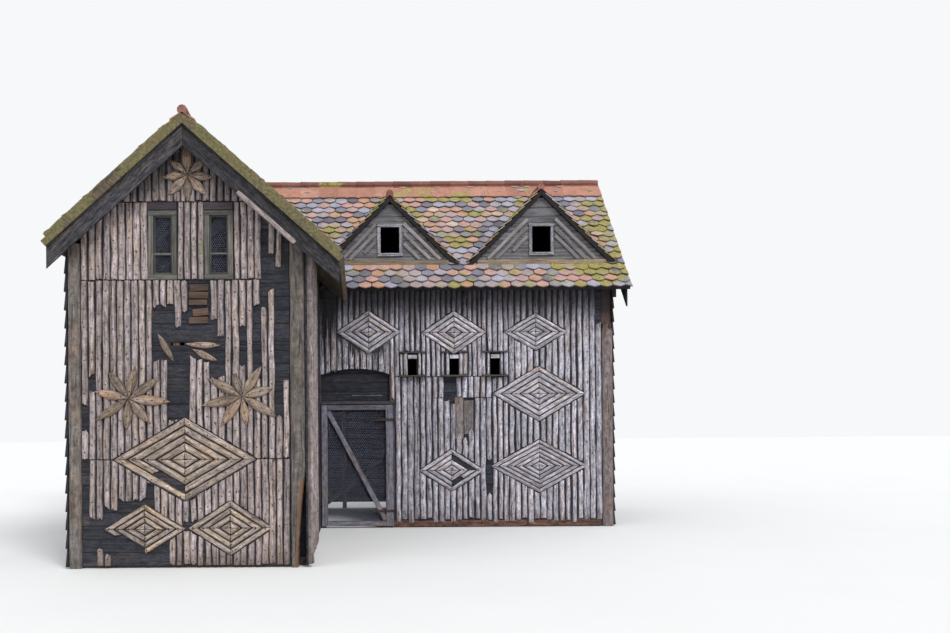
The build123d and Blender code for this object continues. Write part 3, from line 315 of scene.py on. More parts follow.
def plank(heap, rng, start, end, width, thickness, side, wobble=0.002, squareness=6, tone=None, wear=0.0):
    """A timber between two points: a rounded oblong carried along a wavering line.

    The outline is the superellipse |a|^n + |b|^n = 1 over its half width, along
    side, and its half thickness. Wear eats into the sides in places.
    """
    station_gap, inset_most, easing = 0.07, 0.004, 0.003
    start, end, side = (np.array(value, float) for value in (start, end, side))
    run = end - start
    length = np.linalg.norm(run)
    run /= length
    side = side - run * (side @ run)
    side /= np.linalg.norm(side)
    face = np.cross(run, side)
    step = np.linspace(0, length, int(np.clip(length / station_gap, 3, 60)) + 1)
    inset = min(inset_most, length / 10)
    step = np.concatenate([[0], [inset], step[1:-1], [length - inset], [length]])
    _, a, b = rounded_square(12, squareness)
    half_width = width / 2 * (1 - wobble * 4 + waver(rng, step, wobble * 6, 0.5))
    eased = np.ones_like(step)
    eased[[0, -1]] = 1 - min(0.06, easing / max(width, 0.01))
    half_width = np.minimum(half_width, width / 2) * eased
    shift = waver(rng, step, wobble, 0.7)
    if wear:
        half_width *= 1 - wear * np.clip(waver(rng, step, 1, 0.25), 0, 1)
    rings = (
        start
        + step[:, None, None] * run
        + (half_width[:, None, None] * a[None, :, None] + shift[:, None, None] * 0.5) * side
        + thickness / 2 * b[None, :, None] * face
    )
    across = np.broadcast_to(a * width / 2 + b * thickness / 2, rings.shape[:2]) + rng.uniform(0, 50)
    along = np.broadcast_to(step[:, None], rings.shape[:2]) + rng.uniform(0, 50)
    tone = rng.uniform() if tone is None else tone
    heap.tube(rings, across, along, tone, np.abs(a)[None, :] ** 3)


def box_plank(heap, rng, low, high, axis, **options):
    """A plank that fills an upright box, with its length along one axis."""
    low, high = np.array(low, float), np.array(high, float)
    wide, thick = [k for k in range(3) if k != axis]
    if high[wide] - low[wide] < high[thick] - low[thick]:
        wide, thick = thick, wide
    middle = (low + high) / 2
    start, end = middle.copy(), middle.copy()
    start[axis], end[axis] = low[axis], high[axis]
    side = np.eye(3)[wide]
    plank(heap, rng, start, end, high[wide] - low[wide], high[thick] - low[thick], side, **options)


def box_planks(heap, rng, node, axis, **options):
    """A plank in the place of each solid of a node, with its length along one axis."""
    for solid in islands(node):
        box_plank(heap, rng, solid.min(0), solid.max(0), axis, **options)


# Shader groups and materials


def shader_group(name, inputs, outputs):
    """A new shader group, with the sockets that bring its inputs and take its outputs."""
    group = bpy.data.node_groups.new(name, "ShaderNodeTree")
    for label, kind, value in inputs:
        socket = group.interface.new_socket(name=label, in_out="INPUT", socket_type="NodeSocket" + kind)
        if value is not None:
            socket.default_value = value
    for label, kind in outputs:
        group.interface.new_socket(name=label, in_out="OUTPUT", socket_type="NodeSocket" + kind)
    return group, group.nodes.new("NodeGroupInput").outputs, group.nodes.new("NodeGroupOutput").inputs


def add_node(tree, kind, inputs=(), **settings):
    """Add a node, set its properties and fill its inputs with values or links."""
    made = tree.nodes.new(kind)
    for key, value in settings.items():
        setattr(made, key, value)
    for key, value in dict(inputs).items():
        if isinstance(value, bpy.types.NodeSocket):
            tree.links.new(value, made.inputs[key])
        else:
            made.inputs[key].default_value = value
    return made


def noise(tree, vector, scale, stretch=(1, 1, 1), detail=4.0, roughness=0.6):
    """Noise on a vector that is first stretched."""
    moved = add_node(tree, "ShaderNodeVectorMath", {0: vector, 1: stretch}, operation="MULTIPLY").outputs[0]
    inputs = {"Vector": moved, "Scale": scale, "Detail": detail, "Roughness": roughness}
    return add_node(tree, "ShaderNodeTexNoise", inputs).outputs["Fac"]


def remap(tree, value, low, high, to_low=0.0, to_high=1.0):
    """Carry a value from one span to another, held at the ends."""
    inputs = {"Value": value, "From Min": low, "From Max": high, "To Min": to_low, "To Max": to_high}
    return add_node(tree, "ShaderNodeMapRange", inputs, clamp=True).outputs["Result"]


def mixed(tree, share, first, second, blend="MIX"):
    """Mix two colours by a share."""
    inputs = {0: share, 6: first, 7: second}
    return add_node(tree, "ShaderNodeMix", inputs, data_type="RGBA", blend_type=blend).outputs[2]


def combined(tree, operation, first, second=0.0):
    """One operation on two values."""
    return add_node(tree, "ShaderNodeMath", {0: first, 1: second}, operation=operation).outputs[0]


def plus(tree, first, second):
    """The sum of two values."""
    return combined(tree, "ADD", first, second)


def minus(tree, first, second):
    """The difference of two values."""
    return combined(tree, "SUBTRACT", first, second)


def times(tree, first, second):
    """The product of two values."""
    return combined(tree, "MULTIPLY", first, second)


def lit_by(tree, colour, light):
    """A colour times a plain value."""
    grey = add_node(tree, "ShaderNodeCombineColor", {0: light, 1: light, 2: light}).outputs[0]
    return mixed(tree, 1.0, colour, grey, "MULTIPLY")


def attribute(tree, name):
    """A value that the piece's mesh carries at its points."""
    return add_node(tree, "ShaderNodeAttribute", attribute_name=name).outputs["Fac"]


def opaque(colour):
    """A colour with an alpha of 1."""
    return (*colour[:3], 1.0)


def grain_group():
    """Weathered timber: streaks and cracks along the grain map, knots, flecks, and rims that take the edge
    colour in patches.
    """
    name = "aged_timber"
    if name in bpy.data.node_groups:
        return bpy.data.node_groups[name]
    dark = (0.03, 0.025, 0.022, 1)
    inputs = (
        ("Grain", "Vector", None),
        ("Tone", "Float", 0.5),
        ("Rim", "Float", 0.0),
        ("Base", "Color", (0.3, 0.25, 0.2, 1)),
        ("Warm", "Color", (0.3, 0.2, 0.12, 1)),
        ("Grime", "Color", dark),
        ("Edge", "Color", dark),
        ("Knots", "Float", 1.0),
        ("Contrast", "Float", 1.0),
        ("Mottle", "Float", 0.3),
    )
    outputs = (("Color", "Color"), ("Roughness", "Float"), ("Height", "Float"))
    group, given, out = shader_group(name, inputs, outputs)
    grain = given["Grain"]
    fine = noise(group, grain, 1.0, (150, 5, 1), 5.0, 0.65)
    broad = noise(group, grain, 1.0, (34, 2.2, 1), 4.0, 0.55)
    patch = noise(group, grain, 1.0, (5, 1.7, 1), 3.0, 0.6)
    cracks = noise(group, grain, 1.0, (80, 1.6, 1), 2.0, 0.4)
    blotches = noise(group, grain, 1.0, (24, 9, 1), 4.0, 0.68)
    specks = noise(group, grain, 1.0, (75, 26, 1), 3.0, 0.55)
    crack = remap(group, cracks, 0.335, 0.385, 1.0, 0.0)
    spread = add_node(group, "ShaderNodeVectorMath", {0: grain, 1: (11, 5.5, 1)}, operation="MULTIPLY")
    cells = add_node(group, "ShaderNodeTexVoronoi", {"Vector": spread.outputs[0], "Scale": 1.0})
    knot = remap(group, cells.outputs["Distance"], 0.06, 0.16, 1.0, 0.0)
    knot = times(group, knot, given["Knots"])
    lit = remap(group, broad, 0.3, 0.72, 0.62, 1.34)
    lit = times(group, lit, remap(group, fine, 0.25, 0.75, 0.78, 1.22))
    lit = times(group, lit, remap(group, given["Tone"], 0.0, 1.0, 0.7, 1.3))
    mottle = times(group, remap(group, blotches, 0.34, 0.66, -0.5, 0.45), given["Mottle"])
    lit = times(group, lit, plus(group, mottle, 1.0))
    lit = combined(group, "POWER", lit, given["Contrast"])
    flecks = times(group, remap(group, specks, 0.58, 0.66), given["Mottle"])
    flecks = times(group, flecks, 0.75)
    warmth = remap(group, given["Tone"], 0.1, 0.9, 0.25, 0.95)
    warmth = times(group, remap(group, patch, 0.42, 0.68), warmth)
    shaded = lit_by(group, mixed(group, warmth, given["Base"], given["Warm"]), lit)
    # The rims take the edge colour in patches
    rim_share = remap(group, patch, 0.2, 0.7, 0.95, 0.55)
    rim_share = times(group, remap(group, given["Rim"], 0.62, 1.0), rim_share)
    shaded = mixed(group, rim_share, shaded, given["Edge"])
    for share in (times(group, crack, 0.75), times(group, knot, 0.8), flecks):
        shaded = mixed(group, share, shaded, given["Grime"])
    group.links.new(shaded, out["Color"])
    group.links.new(remap(group, fine, 0.2, 0.8, 0.95, 0.72), out["Roughness"])
    height = plus(group, times(group, fine, 0.5), times(group, broad, 0.8))
    for depth in (times(group, crack, 0.9), times(group, knot, 0.5), flecks):
        height = minus(group, height, depth)
    group.links.new(height, out["Height"])
    return group


def moss_group():
    """Moss in patches: a mask from noise over the object's own coordinates, its colour and height."""
    name = "moss_patches"
    if name in bpy.data.node_groups:
        return bpy.data.node_groups[name]
    inputs = (("Place", "Vector", None), ("Amount", "Float", 0.5), ("Moss", "Color", (0.15, 0.15, 0.04, 1)))
    outputs = (("Mask", "Float"), ("Color", "Color"), ("Height", "Float"))
    group, given, out = shader_group(name, inputs, outputs)
    broad = noise(group, given["Place"], 1.7)
    small = noise(group, given["Place"], 26.0, roughness=0.7)
    blend = plus(group, times(group, broad, 0.72), times(group, small, 0.28))
    limit = remap(group, given["Amount"], 0.0, 1.0, 0.7, 0.3)
    mask = remap(group, minus(group, blend, limit), -0.02, 0.045)
    group.links.new(mask, out["Mask"])
    group.links.new(lit_by(group, given["Moss"], remap(group, small, 0.3, 0.7, 0.55, 1.5)), out["Color"])
    group.links.new(times(group, mask, small), out["Height"])
    return group


def start_material(name):
    """A new material with its tree, its shader and the places on its piece."""
    material = bpy.data.materials.new(name)
    material.use_nodes = True
    tree = material.node_tree
    place = add_node(tree, "ShaderNodeTexCoord").outputs["Object"]
    return material, tree, tree.nodes["Principled BSDF"], place


def surfaced(tree, shader, colour, roughness, height, strength, distance):
    """Lead a colour, a roughness and a bump into the shader."""
    tree.links.new(colour, shader.inputs["Base Color"])
    tree.links.new(roughness, shader.inputs["Roughness"])
    bump = add_node(tree, "ShaderNodeBump", {"Strength": strength, "Distance": distance, "Height": height})
    tree.links.new(bump.outputs[0], shader.inputs["Normal"])


def timber(
    name,
    base,
    warm,
    grime=(0.028, 0.023, 0.02),
    edge=None,
    knots=1.0,
    contrast=1.0,
    moss=None,
    growth=None,
    eave_shade=None,
    rot=None,
    mottle=0.3,
    along=None,
):
    """Weathered timber in its own colours.

    Moss is an amount and growth its colour; it grows in patches and keeps off
    undersides. A pair of heights for the eaves gives where the wood darkens under
    them, as painted shade. Rot is a height below which the wood turns red brown
    towards its foot. A piece with a grain map follows it; on a plain node the
    grain runs along an axis.
    """
    if name in bpy.data.materials:
        return bpy.data.materials[name]
    material, tree, shader, place = start_material(name)
    x, y, z = add_node(tree, "ShaderNodeSeparateXYZ", {0: place}).outputs
    inputs = {"Base": opaque(base), "Warm": opaque(warm), "Grime": opaque(grime)}
    inputs |= {"Edge": opaque(edge or grime), "Knots": knots, "Contrast": contrast, "Mottle": mottle}
    if along is None:
        inputs["Grain"] = add_node(tree, "ShaderNodeUVMap", uv_map="grain").outputs[0]
        inputs["Tone"] = attribute(tree, "tone")
        inputs["Rim"] = attribute(tree, "rim")
    else:
        near, far, run = {"x": (y, z, x), "y": (x, z, y), "z": (x, y, z)}[along]
        side = plus(tree, near, times(tree, far, 1.31))
        inputs["Grain"] = add_node(tree, "ShaderNodeCombineXYZ", {0: side, 1: run}).outputs[0]
        inputs["Tone"] = noise(tree, place, 1.3, detail=2.0)
    aged = add_node(tree, "ShaderNodeGroup", inputs, node_tree=grain_group()).outputs
    colour, height = aged["Color"], aged["Height"]
    # Painted shade under the eaves: between the two heights the wood darkens towards near black
    if eave_shade is not None:
        depth = 0.5
        begins, full = eave_shade[0] + depth / 2, eave_shade[1] + depth / 2
        ragged = times(tree, noise(tree, place, 1.0, (6, 6, 1.2)), depth)
        shade = remap(tree, plus(tree, z, ragged), begins, full, 0.0, 0.86)
        colour = mixed(tree, shade, colour, (0.027, 0.025, 0.031, 1))
    if rot is not None:
        ragged = times(tree, noise(tree, place, 1.0, (9, 9, 2)), rot)
        shade = remap(tree, plus(tree, z, ragged), rot * 1.2, rot * 0.35, 0.0, 0.7)
        colour = mixed(tree, shade, colour, (0.085, 0.05, 0.035, 1))
    if moss is not None:
        normal = add_node(tree, "ShaderNodeTexCoord").outputs["Normal"]
        upward = add_node(tree, "ShaderNodeSeparateXYZ", {0: normal}).outputs[2]
        inputs = {"Place": place, "Moss": opaque(growth or colours().moss)}
        inputs["Amount"] = remap(tree, upward, -0.5, -0.2, 0.0, moss)
        cover = add_node(tree, "ShaderNodeGroup", inputs, node_tree=moss_group()).outputs
        colour = mixed(tree, cover["Mask"], colour, cover["Color"])
        height = plus(tree, height, cover["Height"])
    surfaced(tree, shader, colour, aged["Roughness"], height, 0.6, 0.004)
    shader.inputs["Specular IOR Level"].default_value = 0.25
    return material


def clay(name, ramp, moss, thicker=None):
    """Fired clay: a ramp of colours over the pieces' tones, with speckle, lichen and moss, and painted shade
    where the rim value is high, along the tiles' tails.

    Thicker, if given, is (near, far, amount): the moss rises to that amount between
    the two places along X, each drawn back as the slope rises. Each tile's own
    chance lets the moss take some tiles and spare others.
    """
    if name in bpy.data.materials:
        return bpy.data.materials[name]
    material, tree, shader, place = start_material(name)
    tone = attribute(tree, "tone")
    bands = add_node(tree, "ShaderNodeValToRGB", {"Fac": tone})
    elements = bands.color_ramp.elements
    while len(elements) < len(ramp):
        elements.new(0.5)
    for element, (position, value) in zip(elements, ramp):
        element.position = position
        element.color = opaque(value)
    speckle = noise(tree, place, 60.0, detail=5.0, roughness=0.7)
    clouds = remap(tree, noise(tree, place, 7.0), 0.3, 0.7, 0.8, 1.15)
    light = times(tree, remap(tree, speckle, 0.3, 0.7, 0.75, 1.2), clouds)
    colour = lit_by(tree, bands.outputs["Color"], light)
    lichen = remap(tree, noise(tree, place, 38.0, detail=3.0), 0.6, 0.68)
    colour = mixed(tree, times(tree, lichen, 0.3), colour, (0.33, 0.32, 0.27, 1))
    chance = combined(tree, "FRACT", times(tree, tone, 37.0))
    chance = remap(tree, chance, 0.0, 1.0, -0.22, 0.22)
    amount = moss
    if thicker is not None:
        near, far, most = thicker
        eave_z, drawn_back = 3.85, 0.9
        x, _, z = add_node(tree, "ShaderNodeSeparateXYZ", {0: place}).outputs
        reached = minus(tree, x, times(tree, minus(tree, z, eave_z), drawn_back))
        amount = remap(tree, reached, near, far, moss, most)
    inputs = {"Place": place, "Amount": plus(tree, chance, amount), "Moss": opaque(colours().moss)}
    growth = add_node(tree, "ShaderNodeGroup", inputs, node_tree=moss_group()).outputs
    colour = mixed(tree, growth["Mask"], colour, growth["Color"])
    # Painted shade along the tiles' tails, where the rim value is 1
    colour = mixed(tree, times(tree, attribute(tree, "rim"), 0.6), colour, (0.04, 0.034, 0.03, 1))
    height = plus(tree, times(tree, speckle, 0.4), growth["Height"])
    surfaced(tree, shader, colour, remap(tree, speckle, 0.2, 0.8, 0.95, 0.7), height, 0.55, 0.005)
    shader.inputs["Specular IOR Level"].default_value = 0.3
    return material


def metal(name, base, rust_share):
    """Old iron or wire: dull metal with rust in patches."""
    if name in bpy.data.materials:
        return bpy.data.materials[name]
    material, tree, shader, place = start_material(name)
    spots = noise(tree, place, 55.0, detail=5.0, roughness=0.7)
    rusty = remap(tree, spots, 0.62 - rust_share * 0.4, 0.7 - rust_share * 0.3)
    colour = mixed(tree, rusty, opaque(base), (0.07, 0.034, 0.021, 1))
    surfaced(tree, shader, colour, remap(tree, rusty, 0.0, 1.0, 0.45, 0.9), spots, 0.5, 0.001)
    tree.links.new(remap(tree, rusty, 0.0, 1.0, 0.8, 0.1), shader.inputs["Metallic"])
    return material


algae = (0.135, 0.14, 0.085)
olive = (0.125, 0.108, 0.052)
tar = (0.008, 0.007, 0.007)

# Each wood's own colour, or the name of a colour setting, its warm colour, and what else sets it apart
woods = {
    "wing_pole_wood": (
        "wing_pole",
        (0.27, 0.2, 0.15),
        # Painted shade under the wing's eaves
        {"moss": 0.2, "growth": algae, "eave_shade": (4.2, 5.0), "rot": 0.4, "mottle": 0.9},
    ),
    "main_pole_wood": (
        "main_pole",
        (0.32, 0.245, 0.21),
        # Painted shade under the main eaves
        {"grime": (0.022, 0.018, 0.02), "eave_shade": (3.1, 3.65), "rot": 0.5, "mottle": 1.0},
    ),
    "wing_stick_wood": ((0.315, 0.262, 0.235), (0.35, 0.238, 0.14), {"mottle": 1.0}),
    "main_stick_wood": ((0.43, 0.41, 0.46), (0.33, 0.255, 0.22), {"mottle": 1.0}),
    "petal_wood": ("petal", (0.29, 0.18, 0.11), {"edge": (0.07, 0.04, 0.025), "knots": 0.6, "mottle": 0.8}),
    "post_wood": (
        (0.116, 0.105, 0.098),
        (0.14, 0.1, 0.075),
        {"edge": (0.17, 0.08, 0.038), "contrast": 1.3, "mottle": 0.7},
    ),
    "eaves_post_wood": (
        (0.155, 0.132, 0.13),
        (0.15, 0.1, 0.085),
        # Painted shade on the post heads under the eaves
        {"edge": (0.17, 0.07, 0.035), "knots": 0.5, "eave_shade": (3.22, 3.44), "mottle": 0.8},
    ),
    # Grey paint, darkened further by painted shade cast by leaves
    "frame_wood": (
        "paint",
        (0.12, 0.1, 0.085),
        {"grime": (0.03, 0.027, 0.027), "knots": 0.4, "contrast": 1.3},
    ),
    "door_wood": (
        (0.138, 0.135, 0.17),
        (0.15, 0.118, 0.11),
        {"grime": (0.022, 0.02, 0.024), "knots": 0.4, "mottle": 0.8},
    ),
    "lintel_wood": ((0.042, 0.037, 0.047), (0.06, 0.041, 0.038), {"knots": 0.4}),
    "raw_wood": ((0.1, 0.064, 0.048), (0.13, 0.07, 0.045), {"knots": 0.6}),
    # Near-black boards: painted shade behind the poles, under the arch and on the other walls
    "dark_boards": ("board", (0.046, 0.038, 0.037), {"grime": tar, "knots": 0.2, "mottle": 0.9}),
    # Near black: painted shade, where the bargeboards sit in shadow under the verges
    "barge_wood": (
        (0.038, 0.037, 0.043),
        (0.06, 0.047, 0.042),
        {"grime": (0.008, 0.008, 0.009), "contrast": 1.5, "mottle": 1.0},
    ),
    "ledge_wood": ((0.16, 0.14, 0.125), (0.16, 0.105, 0.07), {"knots": 0.3}),
    "sill_wood": ((0.13, 0.088, 0.066), (0.17, 0.085, 0.05), {"knots": 0.5}),
    "bared_wood": ((0.19, 0.165, 0.165), (0.16, 0.11, 0.088), {"mottle": 0.8}),
    "rotten_wood": ((0.115, 0.06, 0.047), (0.15, 0.075, 0.055), {"contrast": 1.4, "mottle": 1.0}),
    "dormer_frame_wood": (
        (0.29, 0.285, 0.325),
        (0.22, 0.19, 0.17),
        {"knots": 0.3, "contrast": 1.2, "mottle": 0.8},
    ),
    "dormer_infill": (
        (0.138, 0.136, 0.15),
        (0.175, 0.155, 0.145),
        {"knots": 0.3, "moss": 0.15, "growth": algae},
    ),
    "dormer_stick_wood": ((0.235, 0.225, 0.235), (0.2, 0.16, 0.13), {}),
    "dormer_sill_wood": ((0.24, 0.19, 0.135), (0.22, 0.14, 0.08), {"knots": 0.4, "moss": 0.22}),
    "verge_moss": ((0.1, 0.08, 0.055), (0.12, 0.08, 0.052), {"moss": 0.66, "growth": olive, "mottle": 1.0}),
    "verge_wood": ((0.1, 0.08, 0.055), (0.12, 0.08, 0.052), {"moss": 0.62, "growth": olive, "along": "y"}),
    "inner_oak": ((0.12, 0.092, 0.068), (0.13, 0.08, 0.045), {"knots": 0.3}),
    # Near black: painted shade on the roof slabs' edges and undersides, and on the rafters
    "roof_boards": ((0.014, 0.012, 0.013), (0.02, 0.015, 0.013), {"knots": 0.2}),
    "shelf_boards": ((0.034, 0.033, 0.038), (0.045, 0.035, 0.03), {"knots": 0.2}),
}


def wood(name, along=None):
    """A wood of the table, for a piece with a grain map or for a plain node with its grain along an axis."""
    base, warm, options = woods[name]
    if isinstance(base, str):
        base = getattr(colours(), base)
    if along is not None:
        name, options = name + "_" + along, {**options, "along": along}
    return timber(name, base, warm, **options)


def give(material, *nodes):
    """Give carried-over nodes their material."""
    for node in nodes:
        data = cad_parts[node].data
        data.materials.clear()
        data.materials.append(material)


# Cladding


def tucked_shares(length, gap, fewest, most, tuck):
    """Places along a stick, from 0 to 1, with one more just inside each end."""
    share = np.linspace(0, 1, int(np.clip(length / gap, fewest, most)) + 1)
    tuck = min(tuck / length, 0.1)
    return np.concatenate([[0], [tuck], share[1:-1], [1 - tuck], [1]])


def on_crown(crown, at, places):
    """Points on a stick's crown line, at tells where each of its own points lies."""
    return np.stack([np.interp(places, at, crown[:, k]) for k in range(3)], -1)


def long_edges(outline):
    """The two long edges of a three or four cornered outline, each as its start and end."""
    angle = np.arctan2(*(outline - outline.mean(0)).T[::-1])
    outline = outline[np.argsort(angle)]
    spans = np.linalg.norm(np.roll(outline, -1, 0) - outline, axis=1)
    if len(outline) == 3:
        outline = np.roll(outline, -int(np.argmax(spans)), 0)
        return outline[[0, 1]], outline[[2, 2]]
    outline = np.roll(outline, -int(spans[0] + spans[2] < spans[1] + spans[3]), 0)
    return outline[[0, 1]], outline[[3, 2]]


def cut_board(heap, rng, solid, axis):
    """A flat board over a solid's four cornered outline across one axis, with eased edges.

    A point is start + share * (end - start) on both long edges, mixed by the weight
    across, and lies at low + depth * thickness on the axis.
    """
    station_gap, eased = 0.09, 0.004
    others = [k for k in range(3) if k != axis]
    low, high = solid[:, axis].min(), solid[:, axis].max()
    near_edge, far_edge = long_edges(solid[np.abs(solid[:, axis] - low) < 0.0005][:, others])
    length = np.linalg.norm(near_edge[1] - near_edge[0])
    width = np.linalg.norm(near_edge[0] - far_edge[0])
    ease = min(0.2, eased / width)
    weight = np.array([0, ease, 0.5, 1 - ease, 1, 1, 1 - ease, 0.5, ease, 0])
    depth = np.array([0.15, 0, 0, 0, 0.15, 0.85, 1, 1, 1, 0.85])
    stations = int(np.clip(length / station_gap, 2, 40)) + 1
    share = np.linspace(0, 1, stations)[:, None]
    weight = 0.5 + (weight - 0.5)[None, :] * (0.985 + waver(rng, share * length, 0.012, 0.5))
    near = near_edge[0] + (near_edge[1] - near_edge[0]) * share
    far = far_edge[0] + (far_edge[1] - far_edge[0]) * share
    flat = near[:, None] + (far - near)[:, None] * weight[..., None]
    bow = 1 - 0.06 * np.abs(waver(rng, share * length, 1, 0.7))
    rings = np.empty((*weight.shape, 3))
    rings[..., others] = flat
    rings[..., axis] = low + (high - low) * (0.5 + (depth[None, :] - 0.5) * bow)
    across = weight * width + depth[None, :] * 0.02 + rng.uniform(0, 50)
    along = np.broadcast_to(share * length, weight.shape) + rng.uniform(0, 50)
    heap.tube(rings, across, along, rng.beta(2, 2), np.abs(2 * weight - 1) ** 6 * 0.9)


def nail_heads(heap, places, outward, radius=0.0095):
    """Hammered nail heads: three six cornered rings, each nearer the top and smaller."""
    places = np.array(places)
    outward = np.array(outward, float)
    side = np.cross(outward, (0, 0, 1.0))
    turn = np.arange(6) * math.pi / 3
    circle = np.cos(turn)[:, None] * side + np.sin(turn)[:, None] * np.array([0, 0, 1.0])
    rise = np.array([-0.004, 0.0012, 0.0028])
    size = np.array([1.0, 0.95, 0.55]) * radius
    rings = places[:, None, None] + rise[None, :, None, None] * outward + size[None, :, None, None] * circle
    heap.tubes(rings, 0.0, 0.0, 0.5, 0.0)


def end_lines(along, height):
    """Lowest and highest corners over each place along the wall, as two lines."""
    places, which = np.unique(np.round(along, 4), return_inverse=True)
    low = np.full(len(places), np.inf)
    high = np.full(len(places), -np.inf)
    np.minimum.at(low, which.ravel(), height)
    np.maximum.at(high, which.ravel(), height)
    return places, low, high


def split_poles(heap, rng, node, wall, facing, nails, feet=(0.0, 0.02), thinner=0.006, short=None):
    """Half-round poles in the place of each solid of a node.

    Across, a pole is an arc of a wavering radius: along = middle - half * cos t,
    out = proud * sin(t) ** 0.8. Up, its ends follow the solid's own cut ends; a level
    end that few neighbours share is a break, and is torn, pointed or slanted. Short
    is (left, right, head): poles between the two places are broken off near that head.
    """
    corners, station_gap, tuck = 9, 0.085, 0.012
    rough_share, rough, smooth = 0.22, 0.03, 0.007
    tear, few, level = 0.07, 5, 0.002
    closest_nails, widest_nails = 0.26, 0.4
    turn = np.linspace(0, math.pi, corners)
    solids = islands(node)
    feet_z = np.array([solid[:, 2].min() for solid in solids])
    heads_z = np.array([solid[:, 2].max() for solid in solids])
    for solid in solids:
        along_wall = solid[:, 0] if facing == "front" else solid[:, 1]
        out_of_wall = wall - solid[:, 1] if facing == "front" else solid[:, 0] - wall
        left, right = along_wall.min(), along_wall.max()
        proud = out_of_wall.max()
        places, low, high = end_lines(along_wall, solid[:, 2])
        length = high.max() - low.min()
        half = (right - left) / 2 + rng.uniform(-thinner, 0.003)
        middle = (left + right) / 2
        share = tucked_shares(length, station_gap, 3, 46, tuck)[:, None]
        run = share * length
        base = middle - half * np.cos(turn)[None, :]
        foot = np.interp(base, places, low)
        head = np.interp(base, places, high)
        ragged = min(rough if rng.uniform() < rough_share else smooth, length / 8)
        foot = foot + rng.uniform(0, ragged, corners)
        head = head - rng.uniform(0, ragged, corners)
        if low.min() < 0.05 and length > 0.4:
            foot = foot + rng.uniform(*feet)
        elif np.ptp(low) < level and (np.abs(feet_z - low.min()) < level * 2).sum() < few:
            foot = foot + torn(rng, corners, min(tear, length / 5))
        broken = short is not None and short[0] < middle < short[1]
        if broken and low.max() < short[2] - 0.1 < high.min() - 0.1:
            head = short[2] - np.abs(np.linspace(-0.12, 0.12, corners) + rng.uniform(-0.05, 0.05))
            head = head - rng.uniform(0, 0.14)
        elif np.ptp(high) < level and (np.abs(heads_z - high.max()) < level * 2).sum() < few:
            head = head - torn(rng, corners, min(tear, length / 5))
        height = foot + (head - foot) * share
        swell = 0.98 + waver(rng, run, 0.13, 0.5) + waver(rng, run, 0.07, 0.15)
        lean = waver(rng, run, 0.008, 1.1)
        bulge = proud * rng.uniform(0.86, 1.0)
        rounding = np.ones_like(share)
        rounding[[0, -1]] = 0.82
        out = bulge * np.sin(turn)[None, :] ** 0.8 * np.clip(swell, 0.8, 1.03) * rounding
        out = np.maximum(out + rng.normal(0, 0.0012, out.shape), 0)
        out[:, (0, -1)] = 0
        place = middle + lean - half * np.clip(swell, 0.82, 1.02) * np.cos(turn)[None, :]
        if facing == "front":
            rings = np.stack([place, wall - out, height], -1)
        else:
            rings = np.stack([wall + out, place, height], -1)
        across = np.broadcast_to((turn / math.pi)[None, :] * 0.12, out.shape) + rng.uniform(0, 60)
        rim = np.abs(np.cos(turn))[None, :] ** 2
        heap.tube(rings, across, height + rng.uniform(0, 60), rng.beta(2.2, 2.2), rim)
        crown = rings[:, corners // 2]
        gap = rng.uniform(closest_nails, widest_nails)
        heights = np.arange(crown[0, 2] + rng.uniform(0.04, 0.2), crown[-1, 2] - 0.03, gap)
        nails.extend(on_crown(crown, crown[:, 2], heights))


def torn(rng, corners, depth):
    """How far a broken end is eaten back at each corner: slanted, pointed or torn."""
    share = np.linspace(0, 1, corners)
    shapes = (share, 1 - share, np.abs(2 * share - 1), rng.uniform(0, 1, corners) ** 1.5)
    return depth * rng.uniform(0.3, 1.0) * shapes[rng.integers(4)] + rng.uniform(0, depth * 0.2, corners)


def mitred_sticks(heap, rng, node, wall, nails):
    """Half-round sticks over each solid's four-cornered foot.

    The foot's corners, sorted by angle, are joined by two long edges. A point is
    the mean of the two edges weighted by (1 - cos t) / 2, proud by sin(t) ** 0.75.
    """
    corners, station_gap, tuck, nail_gap = 8, 0.06, 0.008, 0.28
    turn = np.linspace(0, math.pi, corners)
    for solid in islands(node):
        foot = solid[np.abs(solid[:, 1] - wall) < 0.0005][:, (0, 2)]
        proud = wall - solid[:, 1].min()
        first, second = long_edges(foot)
        length = np.linalg.norm(first[1] - first[0])
        share = tucked_shares(length, station_gap, 2, 18, tuck)[:, None, None]
        weight = ((1 - np.cos(turn)) / 2)[None, :, None]
        near = first[0] + (first[1] - first[0]) * share
        far = second[0] + (second[1] - second[0]) * share
        run = (share * length)[..., 0]
        weight = 0.5 + (weight - 0.5) * (0.93 + waver(rng, run, 0.07, 0.25))[..., None]
        flat = near + (far - near) * weight
        rounding = np.ones_like(run)
        rounding[[0, -1]] = 0.8
        swell = 1 + waver(rng, run, 0.09, 0.35)
        bulge = proud * rng.uniform(0.9, 1.0)
        out = bulge * np.sin(turn)[None, :] ** 0.75 * np.clip(swell, 0.8, 1.0) * rounding
        out[:, (0, -1)] = 0
        rings = np.stack([flat[..., 0], wall - out, flat[..., 1]], -1)
        across = np.broadcast_to((turn / math.pi)[None, :] * 0.1, out.shape) + rng.uniform(0, 60)
        along = np.broadcast_to(run, out.shape) + rng.uniform(0, 60)
        heap.tube(rings, across, along, rng.beta(2.2, 2.0), np.abs(np.cos(turn))[None, :] ** 2)
        crown = rings[:, corners // 2]
        shares = np.linspace(0.12, 0.88, max(2, round(length / nail_gap))) * (len(crown) - 1)
        nails.extend(on_crown(crown, np.arange(len(crown)), shares))


